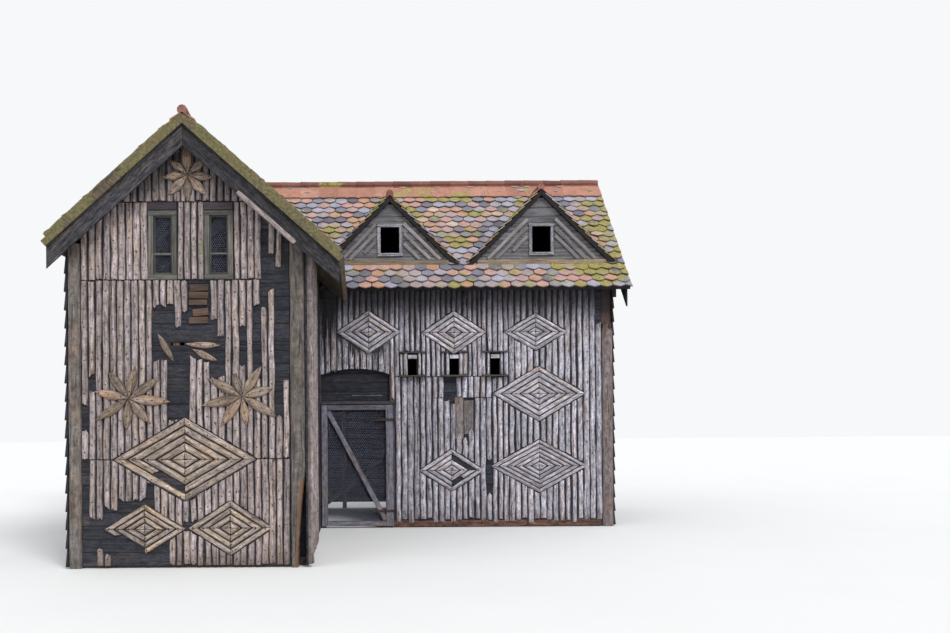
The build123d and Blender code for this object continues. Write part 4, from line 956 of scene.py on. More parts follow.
def carved_petals(heap, rng, node, nails):
    """Pointed petals, hollow-cheeked towards a soft ridge, over each solid.

    Half width is w * sin(pi * s ** 0.95) ** 0.8, no wider than its wedge at the hub,
    and a section stands proud by 0.75 sin(t) ** 0.7 + 0.25 sin(t) ** 4, less towards
    both points.
    """
    corners, point, buried, hub_wedge = 11, 0.002, 0.012, 0.37
    turn = np.linspace(0, math.pi, corners)
    share = np.linspace(0, 1, 15)
    for solid in islands(node):
        seat = solid[:, 1].max()
        rise = seat - solid[:, 1].min()
        foot = solid[np.abs(solid[:, 1] - seat) < 0.0005][:, (0, 2)]
        gaps = np.linalg.norm(foot[:, None] - foot[None], axis=2)
        root, tip = foot[list(np.unravel_index(np.argmax(gaps), gaps.shape))]
        run = tip - root
        length = np.linalg.norm(run)
        run = run / length
        aside = np.array([-run[1], run[0]])
        half = np.abs((foot - root) @ aside).max()
        nearest = (foot - root) @ run
        wide = np.abs((foot - root) @ aside)
        if wide[nearest < length / 2].sum() > wide[nearest >= length / 2].sum():
            root, run, aside = tip, -run, -aside
        width = 1.12 * half * np.sin(math.pi * share**0.95) ** 0.8
        width = np.minimum(width, np.maximum(share * length * hub_wedge, point)) * rng.uniform(0.9, 1.06)
        width[-1] = point
        crown = (rise + buried) * (0.45 + 0.55 * np.sin(math.pi * np.clip(share, 0.02, 0.98)) ** 0.6)
        bend = waver(rng, share * length, 0.004, 0.5)
        side = np.cos(turn)[None, :] * width[:, None] + bend[:, None]
        out = crown[:, None] * (0.75 * np.sin(turn) ** 0.7 + 0.25 * np.sin(turn) ** 4)[None, :]
        out = np.where(np.sin(turn)[None, :] < 1e-6, -buried, out - 0.004)
        flat = root + share[:, None, None] * length * run + side[..., None] * aside
        rings = np.stack([flat[..., 0], seat - out, flat[..., 1]], -1)
        across = np.broadcast_to(side + rng.uniform(0, 60), out.shape)
        along = np.broadcast_to(share[:, None] * length, out.shape) + rng.uniform(0, 60)
        heap.tube(rings, across, along, rng.beta(1.3, 1.3), np.abs(np.cos(turn))[None, :] ** 1.6)
        nails.extend(rings[(3, 8, 12), corners // 2])


class DOVECOTE_OT_cladding(bpy.types.Operator):
    """Split poles, nested diamonds and petal stars on the show fronts"""

    bl_idname = "dovecote.cladding"
    bl_label = "Cladding"

    def execute(self, context):
        rng = np.random.default_rng(11)
        front_nails, main_nails, side_nails = [], [], []
        broken_off = (x_corner + 2.17, x_corner + 2.5, 1.6)
        worn = {"feet": (0.03, 0.12), "thinner": 0.012, "short": broken_off}
        wing, main = "wing_pole_wood", "main_pole_wood"
        for name, node, finish, wall, facing, nails, options in (
            ("wing_split_poles", "wing_front_poles", wing, y_front, "front", front_nails, {}),
            ("wing_side_split_poles", "wing_side_poles", wing, x_side_right, "side", side_nails, {}),
            ("main_split_poles", "main_front_poles", main, y_main, "front", main_nails, worn),
        ):
            poles = Heap()
            split_poles(poles, rng, node, wall, facing, nails, **options)
            poles.finish(name, wood(finish), "house", "poles", [node])
        for name, node, wall, nails, finish in (
            ("wing_nested_sticks", "wing_diamonds", y_front, front_nails, "wing_stick_wood"),
            ("main_nested_sticks", "main_diamonds", y_main, main_nails, "main_stick_wood"),
        ):
            sticks = Heap()
            mitred_sticks(sticks, rng, node, wall, nails)
            sticks.finish(name, wood(finish), "house", "bark_sticks", [node])
        petals = Heap()
        carved_petals(petals, rng, "wing_stars", front_nails)
        petals.finish("wing_petals", wood("petal_wood"), "house", "bark_sticks", ["wing_stars"])
        iron = metal("nail_iron", (0.03, 0.026, 0.025), 0.5)
        nails = Heap()
        nail_heads(nails, front_nails, (0, -1, 0))
        nail_heads(nails, main_nails, (0, -1, 0), 0.0065)
        nails.finish("cladding_nails", iron, "house", "iron")
        nails = Heap()
        nail_heads(nails, side_nails, (1, 0, 0))
        nails.finish("side_nails", iron, "house", "iron")
        return {"FINISHED"}


# Posts


def weathered_post(heap, rng, solid):
    """A post as a rounded square that wavers, its sides following the solid's corners.

    At each height the outline is |a|^5 + |b|^5 = 1 between the solid's own left and
    right faces there, with hewn flats and swellings. Where the solid's front steps
    back, the outline steps back with it, a little lower at some corners than others.
    """
    corners, station_gap, joint = 20, 0.06, 0.03
    rot_top, rot_fade, bite, ragged = 1.3, 0.9, 0.016, 0.12
    heights, low, high = end_lines(solid[:, 2], solid[:, 0])
    foot, head = heights[0], heights[-1]
    rear = solid[:, 1].max()
    fore = np.array([solid[np.abs(solid[:, 2] - height) < 0.001, 1].min() for height in heights])
    step = np.linspace(foot, head, int((head - foot) / station_gap) + 2)
    step = np.unique(np.concatenate([step, heights[1:-1] - joint, heights[1:-1]]))
    whole = high - low > 0.001
    left = np.interp(step, heights[whole], low[whole])
    right = np.interp(step, heights, high)
    decayed = not whole.all()
    turn, a, b = rounded_square(corners, 5)
    shrink = 0.98 + waver(rng, step, 0.02, 0.5)
    half = (right - left) / 2 * shrink
    centre = (left + right) / 2 + waver(rng, step, 0.002, 1.2)
    eaten = np.clip((rot_top - step) / rot_fade, 0, 1) * decayed
    half = half - eaten * np.abs(waver(rng, step, bite, 0.13))
    worn = rng.uniform(0, ragged, corners) * (np.ptp(fore) > 0.01)
    bracket = np.searchsorted(heights, step[:, None] + worn[None, :], side="right") - 1
    bracket = np.clip(bracket, 0, len(heights) - 2)
    front = np.maximum(fore[bracket], fore[bracket + 1])
    depth = (rear - front) / 2
    flats = 0.012 * np.sin(step[:, None] * 9 + turn[None, :] * 3)
    hewn = 1 + flats + rng.normal(0, 0.007, (len(step), corners))
    x = centre[:, None] + half[:, None] * a[None, :] * np.minimum(hewn, 1)
    y = (front + rear) / 2 + depth * b[None, :] * np.minimum(hewn, 1)
    broken = (front > fore.min() + 0.01) * 0.9
    z = np.broadcast_to(step[:, None], x.shape)
    rings = np.stack([x, y, z], -1)
    across = np.broadcast_to((np.arange(corners) * 0.035)[None, :], x.shape) + rng.uniform(0, 50)
    raw = np.maximum(np.clip(eaten * 3, 0, 1)[:, None] * np.clip(0.55 + a[None, :], 0, 1), broken)
    heap.tube(rings, across, z + rng.uniform(0, 50), rng.uniform(0.3, 0.8), raw)


class DOVECOTE_OT_posts(bpy.types.Operator):
    """Corner posts, hewn and wasted by decay"""

    bl_idname = "dovecote.posts"
    bl_label = "Posts"

    def execute(self, context):
        rng = np.random.default_rng(23)
        wing, main = Heap(), Heap()
        for solid in islands("corner_posts"):
            weathered_post(wing if solid[:, 1].min() < y_front else main, rng, solid)
        wing.finish("wing_hewn_posts", wood("post_wood"), "house", "oak", ["corner_posts"])
        main.finish("main_hewn_posts", wood("eaves_post_wood"), "house", "oak")
        return {"FINISHED"}


# Walls of boards


def board_wall(heap, rng, place, low_z, high_z, pitch, thickness, spans, lapped, cuts=()):
    """Courses of boards over a wall.

    place(along, out, up) carries wall places into the frame, spans(z) gives the
    wall's two ends at a height and cuts are openings as (left, right, foot, head).
    A lapped board is a wedge, thick at its foot; others are flat with open joints.
    """
    inset, seam, narrowest, longest = 0.01, 0.005, 0.03, 3.2
    fixed = [low_z, high_z, *(edge for cut in cuts for edge in cut[2:] if low_z < edge < high_z)]
    clear = pitch * 0.35
    edges = np.arange(low_z, high_z, pitch)
    edges = [edge for edge in edges if min(abs(edge - value) for value in fixed) > clear]
    edges = sorted({*edges, *fixed})
    for course, top in zip(edges[:-1], edges[1:]):
        left, right = spans(course + inset), spans(top - inset)
        pieces = [(left[0], left[1], right[0], right[1])]
        for cut_left, cut_right, cut_foot, cut_head in cuts:
            if cut_foot < top - seam and cut_head > course + seam:
                split = []
                for foot_low, foot_high, head_low, head_high in pieces:
                    if foot_low < cut_left < foot_high or foot_low < cut_right < foot_high:
                        split.append((foot_low, cut_left, head_low, cut_left))
                        split.append((cut_right, foot_high, cut_right, head_high))
                    else:
                        split.append((foot_low, foot_high, head_low, head_high))
                pieces = split
        for foot_low, foot_high, head_low, head_high in pieces:
            if foot_high - foot_low < narrowest:
                continue
            breaks = [0.0, 1.0]
            if foot_high - foot_low > longest:
                breaks = [0.0, rng.uniform(0.35, 0.65), 1.0]
            left_ends = np.array([foot_low, head_low])
            run = np.array([foot_high, head_high]) - left_ends
            for begin, finish in zip(breaks[:-1], breaks[1:]):
                ends = left_ends + run * begin, left_ends + run * finish
                one_board(heap, rng, place, *ends, course, top, thickness, lapped)


def one_board(heap, rng, place, low, high, foot, head, thickness, lapped):
    """One board: six corners round its section, carried along the wall with a slight waver."""
    station_gap, joint, head_share = 0.16, 0.002, 0.35
    length = (high - low).max()
    stations = int(np.clip(length / station_gap, 2, 30)) + 1
    share = np.linspace(0, 1, stations)[:, None]
    out_foot = thickness if lapped else thickness * rng.uniform(0.86, 1.0)
    out_head = thickness * head_share if lapped else out_foot
    up = np.array([0, 0, 0.5, 1, 1, 0.5])
    out = np.array([0, out_foot, (out_foot + out_head) / 2, out_head, 0, 0])
    front = out > 0
    sag = waver(rng, share * length, 0.0035 if lapped else 0.001, 0.9)
    edge = joint + np.abs(waver(rng, share * length, 0.004, 0.35))
    low_along = low[0] + (low[1] - low[0]) * up + joint * front
    high_along = high[0] + (high[1] - high[0]) * up - joint * front
    along = low_along + (high_along - low_along) * share
    height = foot + edge * front * (up < 0.3) + (head - foot) * up
    depth = np.where(front, np.clip(out + sag, 0.001, thickness), 0)
    points = place(along, depth, np.broadcast_to(height, along.shape))
    across = np.broadcast_to(up * (head - foot) + out, along.shape) + rng.uniform(0, 50)
    rim = np.array([1.0, 0.9, 0.0, 0.75, 1, 0])[None, :]
    heap.tube(points, across, along + rng.uniform(0, 50), rng.beta(2, 2), rim)


def gable_ends(z, low_end, high_end, ridge, ridge_z, pitch):
    """Ends of a gabled wall at a height, drawn in where the roof's lower face comes down."""
    reach = (ridge_z - sizes().roof_thickness / math.cos(pitch) - z) / math.tan(pitch)
    return max(low_end, ridge - reach), min(high_end, ridge + reach)


def laid_on(axis, start, sign):
    """How a wall's places (along, out, up) lie in the frame, when out leaves start on one axis."""

    def place(along, out, up):
        outward = start + sign * out
        return np.stack([outward, along, up] if axis == 0 else [along, outward, up], -1)

    return place


class DOVECOTE_OT_walls(bpy.types.Operator):
    """Boarded walls at the sides, back and behind the cladding"""

    bl_idname = "dovecote.walls"
    bl_label = "Walls"

    def execute(self, context):
        rng = np.random.default_rng(37)
        thickness, trim = 0.035, 0.02
        left, right = x_left - x_side_left, x_side_right - x_corner
        self.wall(rng, "wing_left_lapped_boards", "wing_left_boards", 0, x_left, -1, left, True)
        self.wall(rng, "wing_right_wall_boards", "wing_right_boards", 0, x_corner, 1, right, pitch=0.17)
        for name, node, start, sign in (
            ("left_gable_lapped_boards", "left_gable_boards", x_left, -1),
            ("right_gable_lapped_boards", "right_gable_boards", x_right, 1),
        ):
            ends = (y_main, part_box(node)[1].y, y_ridge, main_ridge_z, sizes().main_pitch)
            options = {"spans": lambda z: gable_ends(z, *ends), "trim": trim}
            self.wall(rng, name, node, 0, start, sign, thickness, True, **options)
        gaps = sorted(islands("back_boards"), key=lambda solid: solid[:, 0].min())
        hole = (gaps[1][:, 0].min(), gaps[1][:, 0].max(), 0.0, gaps[1][:, 2].min())
        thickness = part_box("back_boards")[1].y - y_back
        self.wall(rng, "back_wall_boards", "back_boards", 1, y_back, 1, thickness, pitch=0.19, cuts=[hole])
        self.fronts(rng)
        return {"FINISHED"}

    def wall(
        self,
        rng,
        name,
        node,
        axis,
        start,
        sign,
        thickness,
        lapped=False,
        pitch=None,
        spans=None,
        trim=0.0,
        cuts=(),
    ):
        """Boards in the place of a node, between its own ends unless spans says other ones."""
        low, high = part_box(node)
        boards = Heap()
        place, pitch = laid_on(axis, start, sign), pitch or sizes().board_pitch
        spans = spans or (lambda z: (low[1 - axis], high[1 - axis]))
        board_wall(boards, rng, place, low.z, high.z - trim, pitch, thickness, spans, lapped, cuts)
        boards.finish(name, wood("dark_boards"), "house", "boards", [node])

    def fronts(self, rng):
        """Boards of the show fronts, in the wall's own thickness behind the poles."""
        low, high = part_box("wing_front_boards")
        cuts = [(s[:, 0].min(), s[:, 0].max(), s[:, 2].min(), s[:, 2].max()) for s in islands("window_mesh")]
        dark_slot = (x_corner - 1.6, x_corner - 1.44, 2.648, 2.684)
        ends = (low.x, high.x, x_wing_ridge, wing_ridge_z, sizes().wing_pitch)
        options = {"cuts": [*cuts, dark_slot], "spans": lambda z: gable_ends(z, *ends), "trim": 0.01}
        thickness = high.y - low.y
        name, node = "wing_back_boards", "wing_front_boards"
        self.wall(rng, name, node, 1, high.y, -1, thickness, pitch=0.16, **options)
        low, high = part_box("main_front_boards")
        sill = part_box("pigeon_ledges")[1].z
        holes = [(s[:, 0].min(), s[:, 0].max(), sill, s[:, 2].min()) for s in islands("pigeon_blocks")]
        thickness = high.y - low.y
        name, node = "main_back_boards", "main_front_boards"
        self.wall(rng, name, node, 1, high.y, -1, thickness, pitch=0.165, cuts=holes)
        stud = Heap()
        low, high = (x_corner - 0.13, y_front + 0.175, 0.02), (x_corner - 0.004, y_front + 0.2, 1.5)
        box_plank(stud, rng, low, high, 2)
        stud.finish("corner_stud", wood("dark_boards"), "house", "boards")


# Openings


def netting(heap, low, high, y, cell):
    """Hexagonal netting over an upright rectangle.

    Cells of one width stand in broken bond, 1.5 sides apart. Each brings the wires
    of its right half; wires are cut at the rectangle and drawn as three sided rods.
    """
    side, radius = cell / math.sqrt(3), sizes().wire_radius
    columns = np.arange(-1, int((high[0] - low[0]) / cell) + 2)
    rows = np.arange(-1, int((high[1] - low[1]) / (1.5 * side)) + 2)
    column, row = np.meshgrid(columns, rows)
    middle = np.stack([(column + 0.5 * (row % 2)) * cell, row * 1.5 * side], -1)
    middle = middle.reshape(-1, 2) + np.array(low)
    corners = np.array([(0, side), (cell / 2, side / 2), (cell / 2, -side / 2), (0, -side)])
    begins = (middle[:, None] + corners[:-1]).reshape(-1, 2)
    ends = (middle[:, None] + corners[1:]).reshape(-1, 2)
    begins, ends = (np.clip(value, low, high) for value in (begins, ends))
    run = ends - begins
    length = np.linalg.norm(run, axis=1)
    kept = length > 0.002
    begins, ends, run = begins[kept], ends[kept], run[kept] / length[kept, None]
    aside = np.stack([-run[:, 1], run[:, 0]], -1)
    turn = np.arange(3) * 2 * math.pi / 3
    flat = np.stack([begins, ends], 1)[:, :, None] + np.cos(turn)[:, None] * aside[:, None, None] * radius
    out = np.broadcast_to(y + np.sin(turn) * radius, flat.shape[:-1])
    rings = np.stack([flat[..., 0], out, flat[..., 1]], -1)
    heap.tubes(rings, 0.0, 0.0, 0.5, 0.0)


def net_wire():
    """The netting's wire."""
    return metal("net_wire", (0.28, 0.3, 0.4), 0.25)


def picture_frame(heap, rng, solid):
    """Four planks in place of a solid window frame; gives its opening."""
    xs = np.unique(np.round(solid[:, 0], 4))
    zs = np.unique(np.round(solid[:, 2], 4))
    front, rear = solid[:, 1].min(), solid[:, 1].max()
    for low_z, high_z in ((zs[0], zs[1]), (zs[-2], zs[-1])):
        box_plank(heap, rng, (xs[0], front, low_z), (xs[-1], rear, high_z), 0, squareness=9)
    for low_x, high_x in ((xs[0], xs[1]), (xs[-2], xs[-1])):
        low, high = (low_x, front + 0.003, zs[1] + 0.001), (high_x, rear, zs[-2] - 0.001)
        box_plank(heap, rng, low, high, 2, squareness=9)
    return xs[1], xs[-2], zs[1], zs[-2]


class DOVECOTE_OT_windows(bpy.types.Operator):
    """Frames, lintels, glazing bars and netting of the wing's windows"""

    bl_idname = "dovecote.windows"
    bl_label = "Windows"

    bar_share: FloatProperty(
        name="Bar height", description="Share of the opening below the glazing bar", default=0.35
    )

    def execute(self, context):
        rng = np.random.default_rng(71)
        frames, nets, lintels = Heap(), Heap(), Heap()
        bead, rear = 0.016, y_front + 0.012
        for solid in islands("wing_window_frames"):
            left, right, foot, head = picture_frame(frames, rng, solid)
            bar = foot + (head - foot) * self.bar_share
            low, high = (left, y_front - 0.012, bar - 0.014), (right, y_front + 0.006, bar + 0.014)
            box_plank(frames, rng, low, high, 0)
            for jamb in left, right - bead:
                box_plank(frames, rng, (jamb, y_front - 0.01, foot), (jamb + bead, rear, head), 2)
            box_plank(frames, rng, (left, y_front - 0.01, head - 0.018), (right, rear, head), 0)
            box_plank(frames, rng, (left, y_front - 0.014, foot), (right, rear, foot + 0.022), 0)
            netting(nets, (left, foot), (right, head), y_front + 0.0185, sizes().net_cell)
        painted = wood("frame_wood")
        frames.finish("window_frame_boards", painted, "house", "frame_paint", ["wing_window_frames"])
        nets.finish("window_netting", net_wire(), "house", "wire", ["window_mesh"])
        box_planks(lintels, rng, "window_lintels", 0, wobble=0.003)
        lintels.finish("lintel_timbers", wood("lintel_wood"), "house", "oak", ["window_lintels"])
        return {"FINISHED"}


class DOVECOTE_OT_door(bpy.types.Operator):
    """Door leaf with its netting, its posts and head, and the boarded arch over it"""

    bl_idname = "dovecote.door"
    bl_label = "Door"

    def execute(self, context):
        rng = np.random.default_rng(83)
        leaf, nets, nails, posts = Heap(), Heap(), Heap(), Heap()
        box_planks(leaf, rng, "door_stiles", 2, squareness=10, wobble=0.0015)
        box_planks(leaf, rng, "door_rails", 0, squareness=10, wobble=0.0015)
        low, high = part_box("door_brace")
        start, end = (np.array((x, low.y + 0.0165, z)) for x, z in ((low.x, high.z), (high.x, low.z)))
        run = (end - start) / np.linalg.norm(end - start)
        ends = start + run * 0.02, end - run * 0.02
        plank(leaf, rng, *ends, 0.078, 0.029, (0.89, 0, 0.46), squareness=10, tone=0.8)
        replaced = ["door_stiles", "door_rails", "door_brace"]
        leaf.finish("door_leaf", wood("door_wood"), "door", "oak", replaced)
        low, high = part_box("door_mesh")
        netting(nets, (low.x, low.z), (high.x, high.z), (low.y + high.y) / 2, sizes().net_cell * 1.25)
        nets.finish("door_netting", net_wire(), "door", "wire", ["door_mesh"])
        places = []
        for solid in islands("door_straps"):
            low, high = solid.min(0), solid.max(0)
            along = np.linspace(low[0] + 0.03, high[0] - 0.06, 4)
            places += [(x, high[1] - 0.006, (low[2] + high[2]) / 2) for x in along]
        nail_heads(nails, places, (0, -1, 0), 0.007)
        # Old iron, darkened further as painted shade so the straps sink into the shade at the door
        strap_iron = metal("strap_iron", (0.035, 0.031, 0.032), 0.35)
        nails.finish("strap_nails", strap_iron, "door", "iron")
        give(strap_iron, "door_straps", "hinge_hooks")
        box_planks(posts, rng, "door_posts", 2, squareness=10)
        box_planks(posts, rng, "door_head", 0, squareness=10)
        posts.finish("door_case", wood("door_wood"), "house", "oak", ["door_posts", "door_head"])
        self.arch(rng)
        return {"FINISHED"}

    def arch(self, rng):
        """Black boards under the arch, near black as painted shade, and the split light edge of one of them.
        """
        low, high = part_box("arch_panel")
        boards, slat = Heap(), Heap()
        place, thickness, pitch = laid_on(1, high.y, -1), high.y - low.y, 0.15
        board_wall(boards, rng, place, low.z, high.z, pitch, thickness, lambda z: (low.x, high.x), False)
        boards.finish("arch_panel_boards", wood("dark_boards"), "house", "boards", ["arch_panel"])
        foot = low.z + 0.08
        ends = (low.x + 0.5, low.y - 0.012, foot), (high.x - 0.12, low.y + 0.004, foot + 0.024)
        box_plank(slat, rng, *ends, 0)
        slat.finish("arch_slat", wood("door_wood"), "house", "boards")
        give(wood("shelf_boards", "x"), "arch_boards")


class DOVECOTE_OT_trims(bpy.types.Operator):
    """Bargeboards, ground sills, pigeon ledges, caps and blocks, the slope pole and broken boards"""

    bl_idname = "dovecote.trims"
    bl_label = "Trims"

    def execute(self, context):
        rng = np.random.default_rng(97)
        boards, ledges, blocks, sills = Heap(), Heap(), Heap(), Heap()
        for node, axis in (("wing_bargeboards", 1), ("main_bargeboards", 0)):
            for solid in islands(node):
                cut_board(boards, rng, solid, axis)
        replaced = ["wing_bargeboards", "main_bargeboards"]
        # The bargeboards are near black: painted shade under the verges
        boards.finish("verge_boards", wood("barge_wood"), "house", "boards", replaced)
        self.slope_pole(rng)
        replaced = ["pigeon_ledges", "pigeon_caps"]
        for node in replaced:
            box_planks(ledges, rng, node, 0, wobble=0.0025, squareness=8)
        ledges.finish("landing_boards", wood("ledge_wood"), "house", "boards", replaced)
        box_planks(blocks, rng, "pigeon_blocks", 0)
        blocks.finish("hole_blocks", wood("main_pole_wood"), "house", "poles", ["pigeon_blocks"])
        for solid in islands("ground_sills"):
            low, high = solid.min(0), solid.max(0)
            low[2] += 0.001
            box_plank(sills, rng, low, high, int(np.argmax(high - low)), wobble=0.003)
        sills.finish("sill_timbers", wood("sill_wood"), "house", "oak", ["ground_sills"])
        self.broken_laths(rng)
        self.bared_boards(rng)
        self.rotten_sill(rng)
        return {"FINISHED"}

    def slope_pole(self, rng):
        """A pale round pole under the right verge, along the slope."""
        pole = Heap()
        slope = sizes().wing_pitch
        corners, first, last, down = 10, 1.08, 1.97, 0.255
        turn = np.arange(corners) * 2 * math.pi / corners
        step = np.linspace(first, last, 22)
        radius = 0.03 * (1 + waver(rng, step, 0.1, 0.4))
        radius[[0, -1]] *= 0.8
        sunk = down - radius[:, None] * np.cos(turn)
        z = wing_ridge_z - step[:, None] * math.sin(slope) - sunk * math.cos(slope)
        x = x_wing_ridge + step[:, None] * math.cos(slope) - sunk * math.sin(slope)
        y = y_verge + 0.035 + radius[:, None] * np.sin(turn)
        rings = np.stack([x, y, z], -1)
        across = np.broadcast_to(turn * 0.04, x.shape)
        pole.tube(rings, across, np.broadcast_to(step[:, None], x.shape), 0.6, 0.0)
        pole.finish("slope_pole", wood("wing_pole_wood"), "house", "poles")

    def broken_laths(self, rng):
        """Raw broken boards nailed over the gap between the wing's windows."""
        laths = Heap()
        left = x_corner - 1.38
        right = x_corner - 1.15
        for low_z, high_z, start, end in (
            (3.295, 3.375, 0.05, 1.0),
            (3.205, 3.285, 0.0, 1.0),
            (3.125, 3.19, 0.0, 0.94),
            (3.0, 3.085, 0.2, 1.0),
            (2.905, 2.985, 0.0, 0.97),
        ):
            begin = left + (right - left) * start
            finish = left + (right - left) * end
            lean = rng.normal(0, 0.005)
            middle = (low_z + high_z) / 2
            ends = (begin, y_front - 0.012, middle - lean), (finish, y_front - 0.012, middle + lean)
            plank(laths, rng, *ends, high_z - low_z, 0.018, (0, 0, 1), wobble=0.003, squareness=12)
        laths.finish("broken_laths", wood("raw_wood"), "house", "boards")

    def bared_boards(self, rng):
        """Two pale boards that show where poles are broken off."""
        patch = Heap()
        for left, right, foot, head, proud, tone in (
            (2.185, 2.325, 1.42, 2.1, 0.007, 0.75),
            (2.33, 2.485, 1.5, 2.04, 0.01, 0.2),
        ):
            low = (x_corner + left, y_main - proud, foot)
            box_plank(patch, rng, low, (x_corner + right, y_main + 0.003, head), 2, tone=tone)
        patch.finish("bared_boards", wood("bared_wood"), "house", "boards")

    def rotten_sill(self, rng):
        """Rotten pieces on the face of the main front's sill."""
        rotten = Heap()
        breaks = np.linspace(x_corner + 0.95, x_right - 0.2, 4)
        for begin, finish in zip(breaks[:-1], breaks[1:]):
            low = (begin + 0.004, y_main - 0.014, 0.004)
            box_plank(rotten, rng, low, (finish - 0.004, y_main + 0.002, 0.115), 0, wobble=0.006, wear=0.12)
        rotten.finish("rotten_sill_face", wood("rotten_wood"), "house", "oak")


class DOVECOTE_OT_dormers(bpy.types.Operator):
    """Boarded dormer fronts with their frames, sills and split sticks"""

    bl_idname = "dovecote.dormers"
    bl_label = "Dormers"

    def execute(self, context):
        rng = np.random.default_rng(101)
        frames, boards, sills, sticks = Heap(), Heap(), Heap(), Heap()
        openings = [picture_frame(frames, rng, solid) for solid in islands("dormer_window_frames")]
        pale = wood("dormer_frame_wood")
        frames.finish("dormer_frame_boards", pale, "house", "frame_paint", ["dormer_window_frames"])
        low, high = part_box("dormer_fronts")
        place, thickness, pitch = laid_on(1, high.y, -1), high.y - low.y, 0.13
        for centre, half in dormer_spans():
            opening = min(openings, key=lambda value: abs((value[0] + value[1]) / 2 - centre))
            peak = dormer_foot_z + half - 0.06 * math.sqrt(2)

            def spans(z):
                return centre - (peak - z), centre + (peak - z)

            board_wall(boards, rng, place, low.z, peak - 0.035, pitch, thickness, spans, False, [opening])
            self.slanted(sticks, rng, centre, peak, opening)
        boards.finish("dormer_boards", wood("dormer_infill"), "house", "boards", ["dormer_fronts"])
        sticks.finish("dormer_sticks", wood("dormer_stick_wood"), "house", "bark_sticks")
        for solid in islands("dormer_sills"):
            cut_board(sills, rng, solid, 1)
        sills.finish("dormer_sill_boards", wood("dormer_sill_wood"), "house", "boards", ["dormer_sills"])
        return {"FINISHED"}

    def slanted(self, sticks, rng, centre, peak, opening):
        """Split sticks that follow both slopes, from the frame down to the sill."""
        width, thickness, end_z, y = 0.062, 0.03, dormer_foot_z + 0.09, y_dormer - 0.012
        for side in (-1, 1):
            start_x = (opening[1] - centre if side > 0 else centre - opening[0]) + 0.075
            for depth in (0.11, 0.2, 0.3):
                drop = (depth + rng.normal(0, 0.012)) * math.sqrt(2)
                end_x = peak - drop - end_z
                start = (centre + side * start_x, y, peak - drop - start_x)
                end = (centre + side * end_x, y, end_z)
                if depth > 0.25 and side < 0:
                    end = tuple(np.array(start) * 0.35 + np.array(end) * 0.65)
                across = (side * 0.7, 0, 0.7)
                plank(sticks, rng, start, end, width, thickness, across, wobble=0.004, squareness=2.6)


class DOVECOTE_OT_inside(bpy.types.Operator):
    """Old oak on the inner timbers"""

    bl_idname = "dovecote.inside"
    bl_label = "Inside"

    def execute(self, context):
        oak = wood("inner_oak", "x")
        give(oak, "wall_plates", "tie_beams", "loft_ledgers", "main_ridge_board", "back_brace")
        give(wood("inner_oak", "y"), "loft_joists", "wing_ridge_board")
        give(wood("inner_oak", "z"), "wall_studs")
        # The rafters take the near-black boarding: painted shade under the roofs
        give(wood("roof_boards", "y"), "main_front_rafters", "main_back_rafters", "wing_rafters")
        give(wood("shelf_boards", "x"), "loft_floor")
        return {"FINISHED"}


# Roofs

# How far a tile's tail is drawn down in the middle
tail_depth = 0.066


def tile_slope(heap, rng, origin, along, up, width, length, keep, overhang=0.0):
    """Courses of pointed tiles over a slope, in broken bond.

    A tile's tail is drawn down in the middle by depth * (1 - |2s - 1|^1.35), s running
    from 0 to 1 across it. Its head is straight, and it lies on the course below: its
    height over the slope falls from tail to head. keep(points) says which tiles are
    laid, and overhang is how far the first course passes the slope's foot, or stays
    short of it if negative.
    """
    origin, along, up = (np.array(value, float) for value in (origin, along, up))
    normal = np.cross(along, up)
    normal *= np.sign(normal[2])
    pitch, gauge, thick = sizes().tile_width, sizes().tile_gauge, sizes().tile_thickness
    lap, side_clear, loose_share, tail_rise, camber_height = 1.75, 0.002, 0.02, 0.04, 0.004
    narrowest, shortest = 0.03, 0.05
    full = gauge * lap
    courses = int(math.ceil((length + overhang) / gauge))
    count = int(math.ceil(width / pitch)) + 1
    course, number = np.meshgrid(np.arange(courses), np.arange(count), indexing="ij")
    start = (number + 0.5 * (course % 2) - 0.5) * pitch
    start = start + rng.normal(0, 0.003, start.shape)
    tail = course * gauge - overhang + rng.normal(0, 0.004, start.shape)
    loose = rng.uniform(size=start.shape) < loose_share
    tail = tail - loose * rng.uniform(0.01, 0.05, start.shape)
    tail = np.maximum(tail, -overhang)
    across = np.array([0.012, 0.17, 0.36, 0.5, 0.64, 0.83, 0.988])
    tail_line = tail_depth * np.abs(2 * across - 1) ** 1.35
    shares = np.array([0.0, 0.1, 0.45, 1.0])
    s = start.ravel()[:, None, None] + across[None, None, :] * pitch
    s = np.clip(s, side_clear, width - side_clear)
    reach = np.minimum(full, length - tail.ravel())[:, None, None]
    t = tail.ravel()[:, None, None] + tail_line + (reach - tail_line) * shares[None, :, None]
    turned = rng.normal(0, 0.02, s.shape[0])[:, None, None]
    t = np.clip(t + turned * (s - s.mean(2, keepdims=True)), -overhang, length)
    rise = (tail_rise + rng.normal(0, 0.005, s.shape[0]))[:, None, None]
    camber = camber_height * (1 - (2 * across - 1) ** 2)
    drop = (t - tail.ravel()[:, None, None]) / full
    height = thick + rise * np.clip(1 - drop, 0, 1) + camber
    height = height - 0.003 * (shares[None, :, None] == 0.0)
    top = origin + s[..., None] * along + t[..., None] * up + height[..., None] * normal
    under = top - thick * normal
    rings = np.concatenate([top, under[:, :, ::-1]], 2)
    middle = top.mean((1, 2))
    spans = s.max((1, 2)) - s.min((1, 2))
    laid = keep(middle) & (spans > narrowest) & (reach.ravel() > shortest)
    tone = rng.beta(1.6, 1.6, laid.sum())[:, None, None]
    # A rim value of 1 at the tail, where the clay paints shade
    rim = np.zeros((1, 4, 14))
    rim[0, 0, :] = 1.0
    heap.tubes(rings[laid], 0.0, 0.0, tone, rim)


tile_ramp = (
    (0.0, (0.11, 0.1, 0.12)),
    (0.22, (0.2, 0.19, 0.23)),
    (0.42, (0.36, 0.345, 0.42)),
    (0.56, (0.34, 0.275, 0.28)),
    (0.7, (0.47, 0.275, 0.24)),
    (0.86, (0.42, 0.235, 0.15)),
    (1.0, (0.55, 0.43, 0.37)),
)


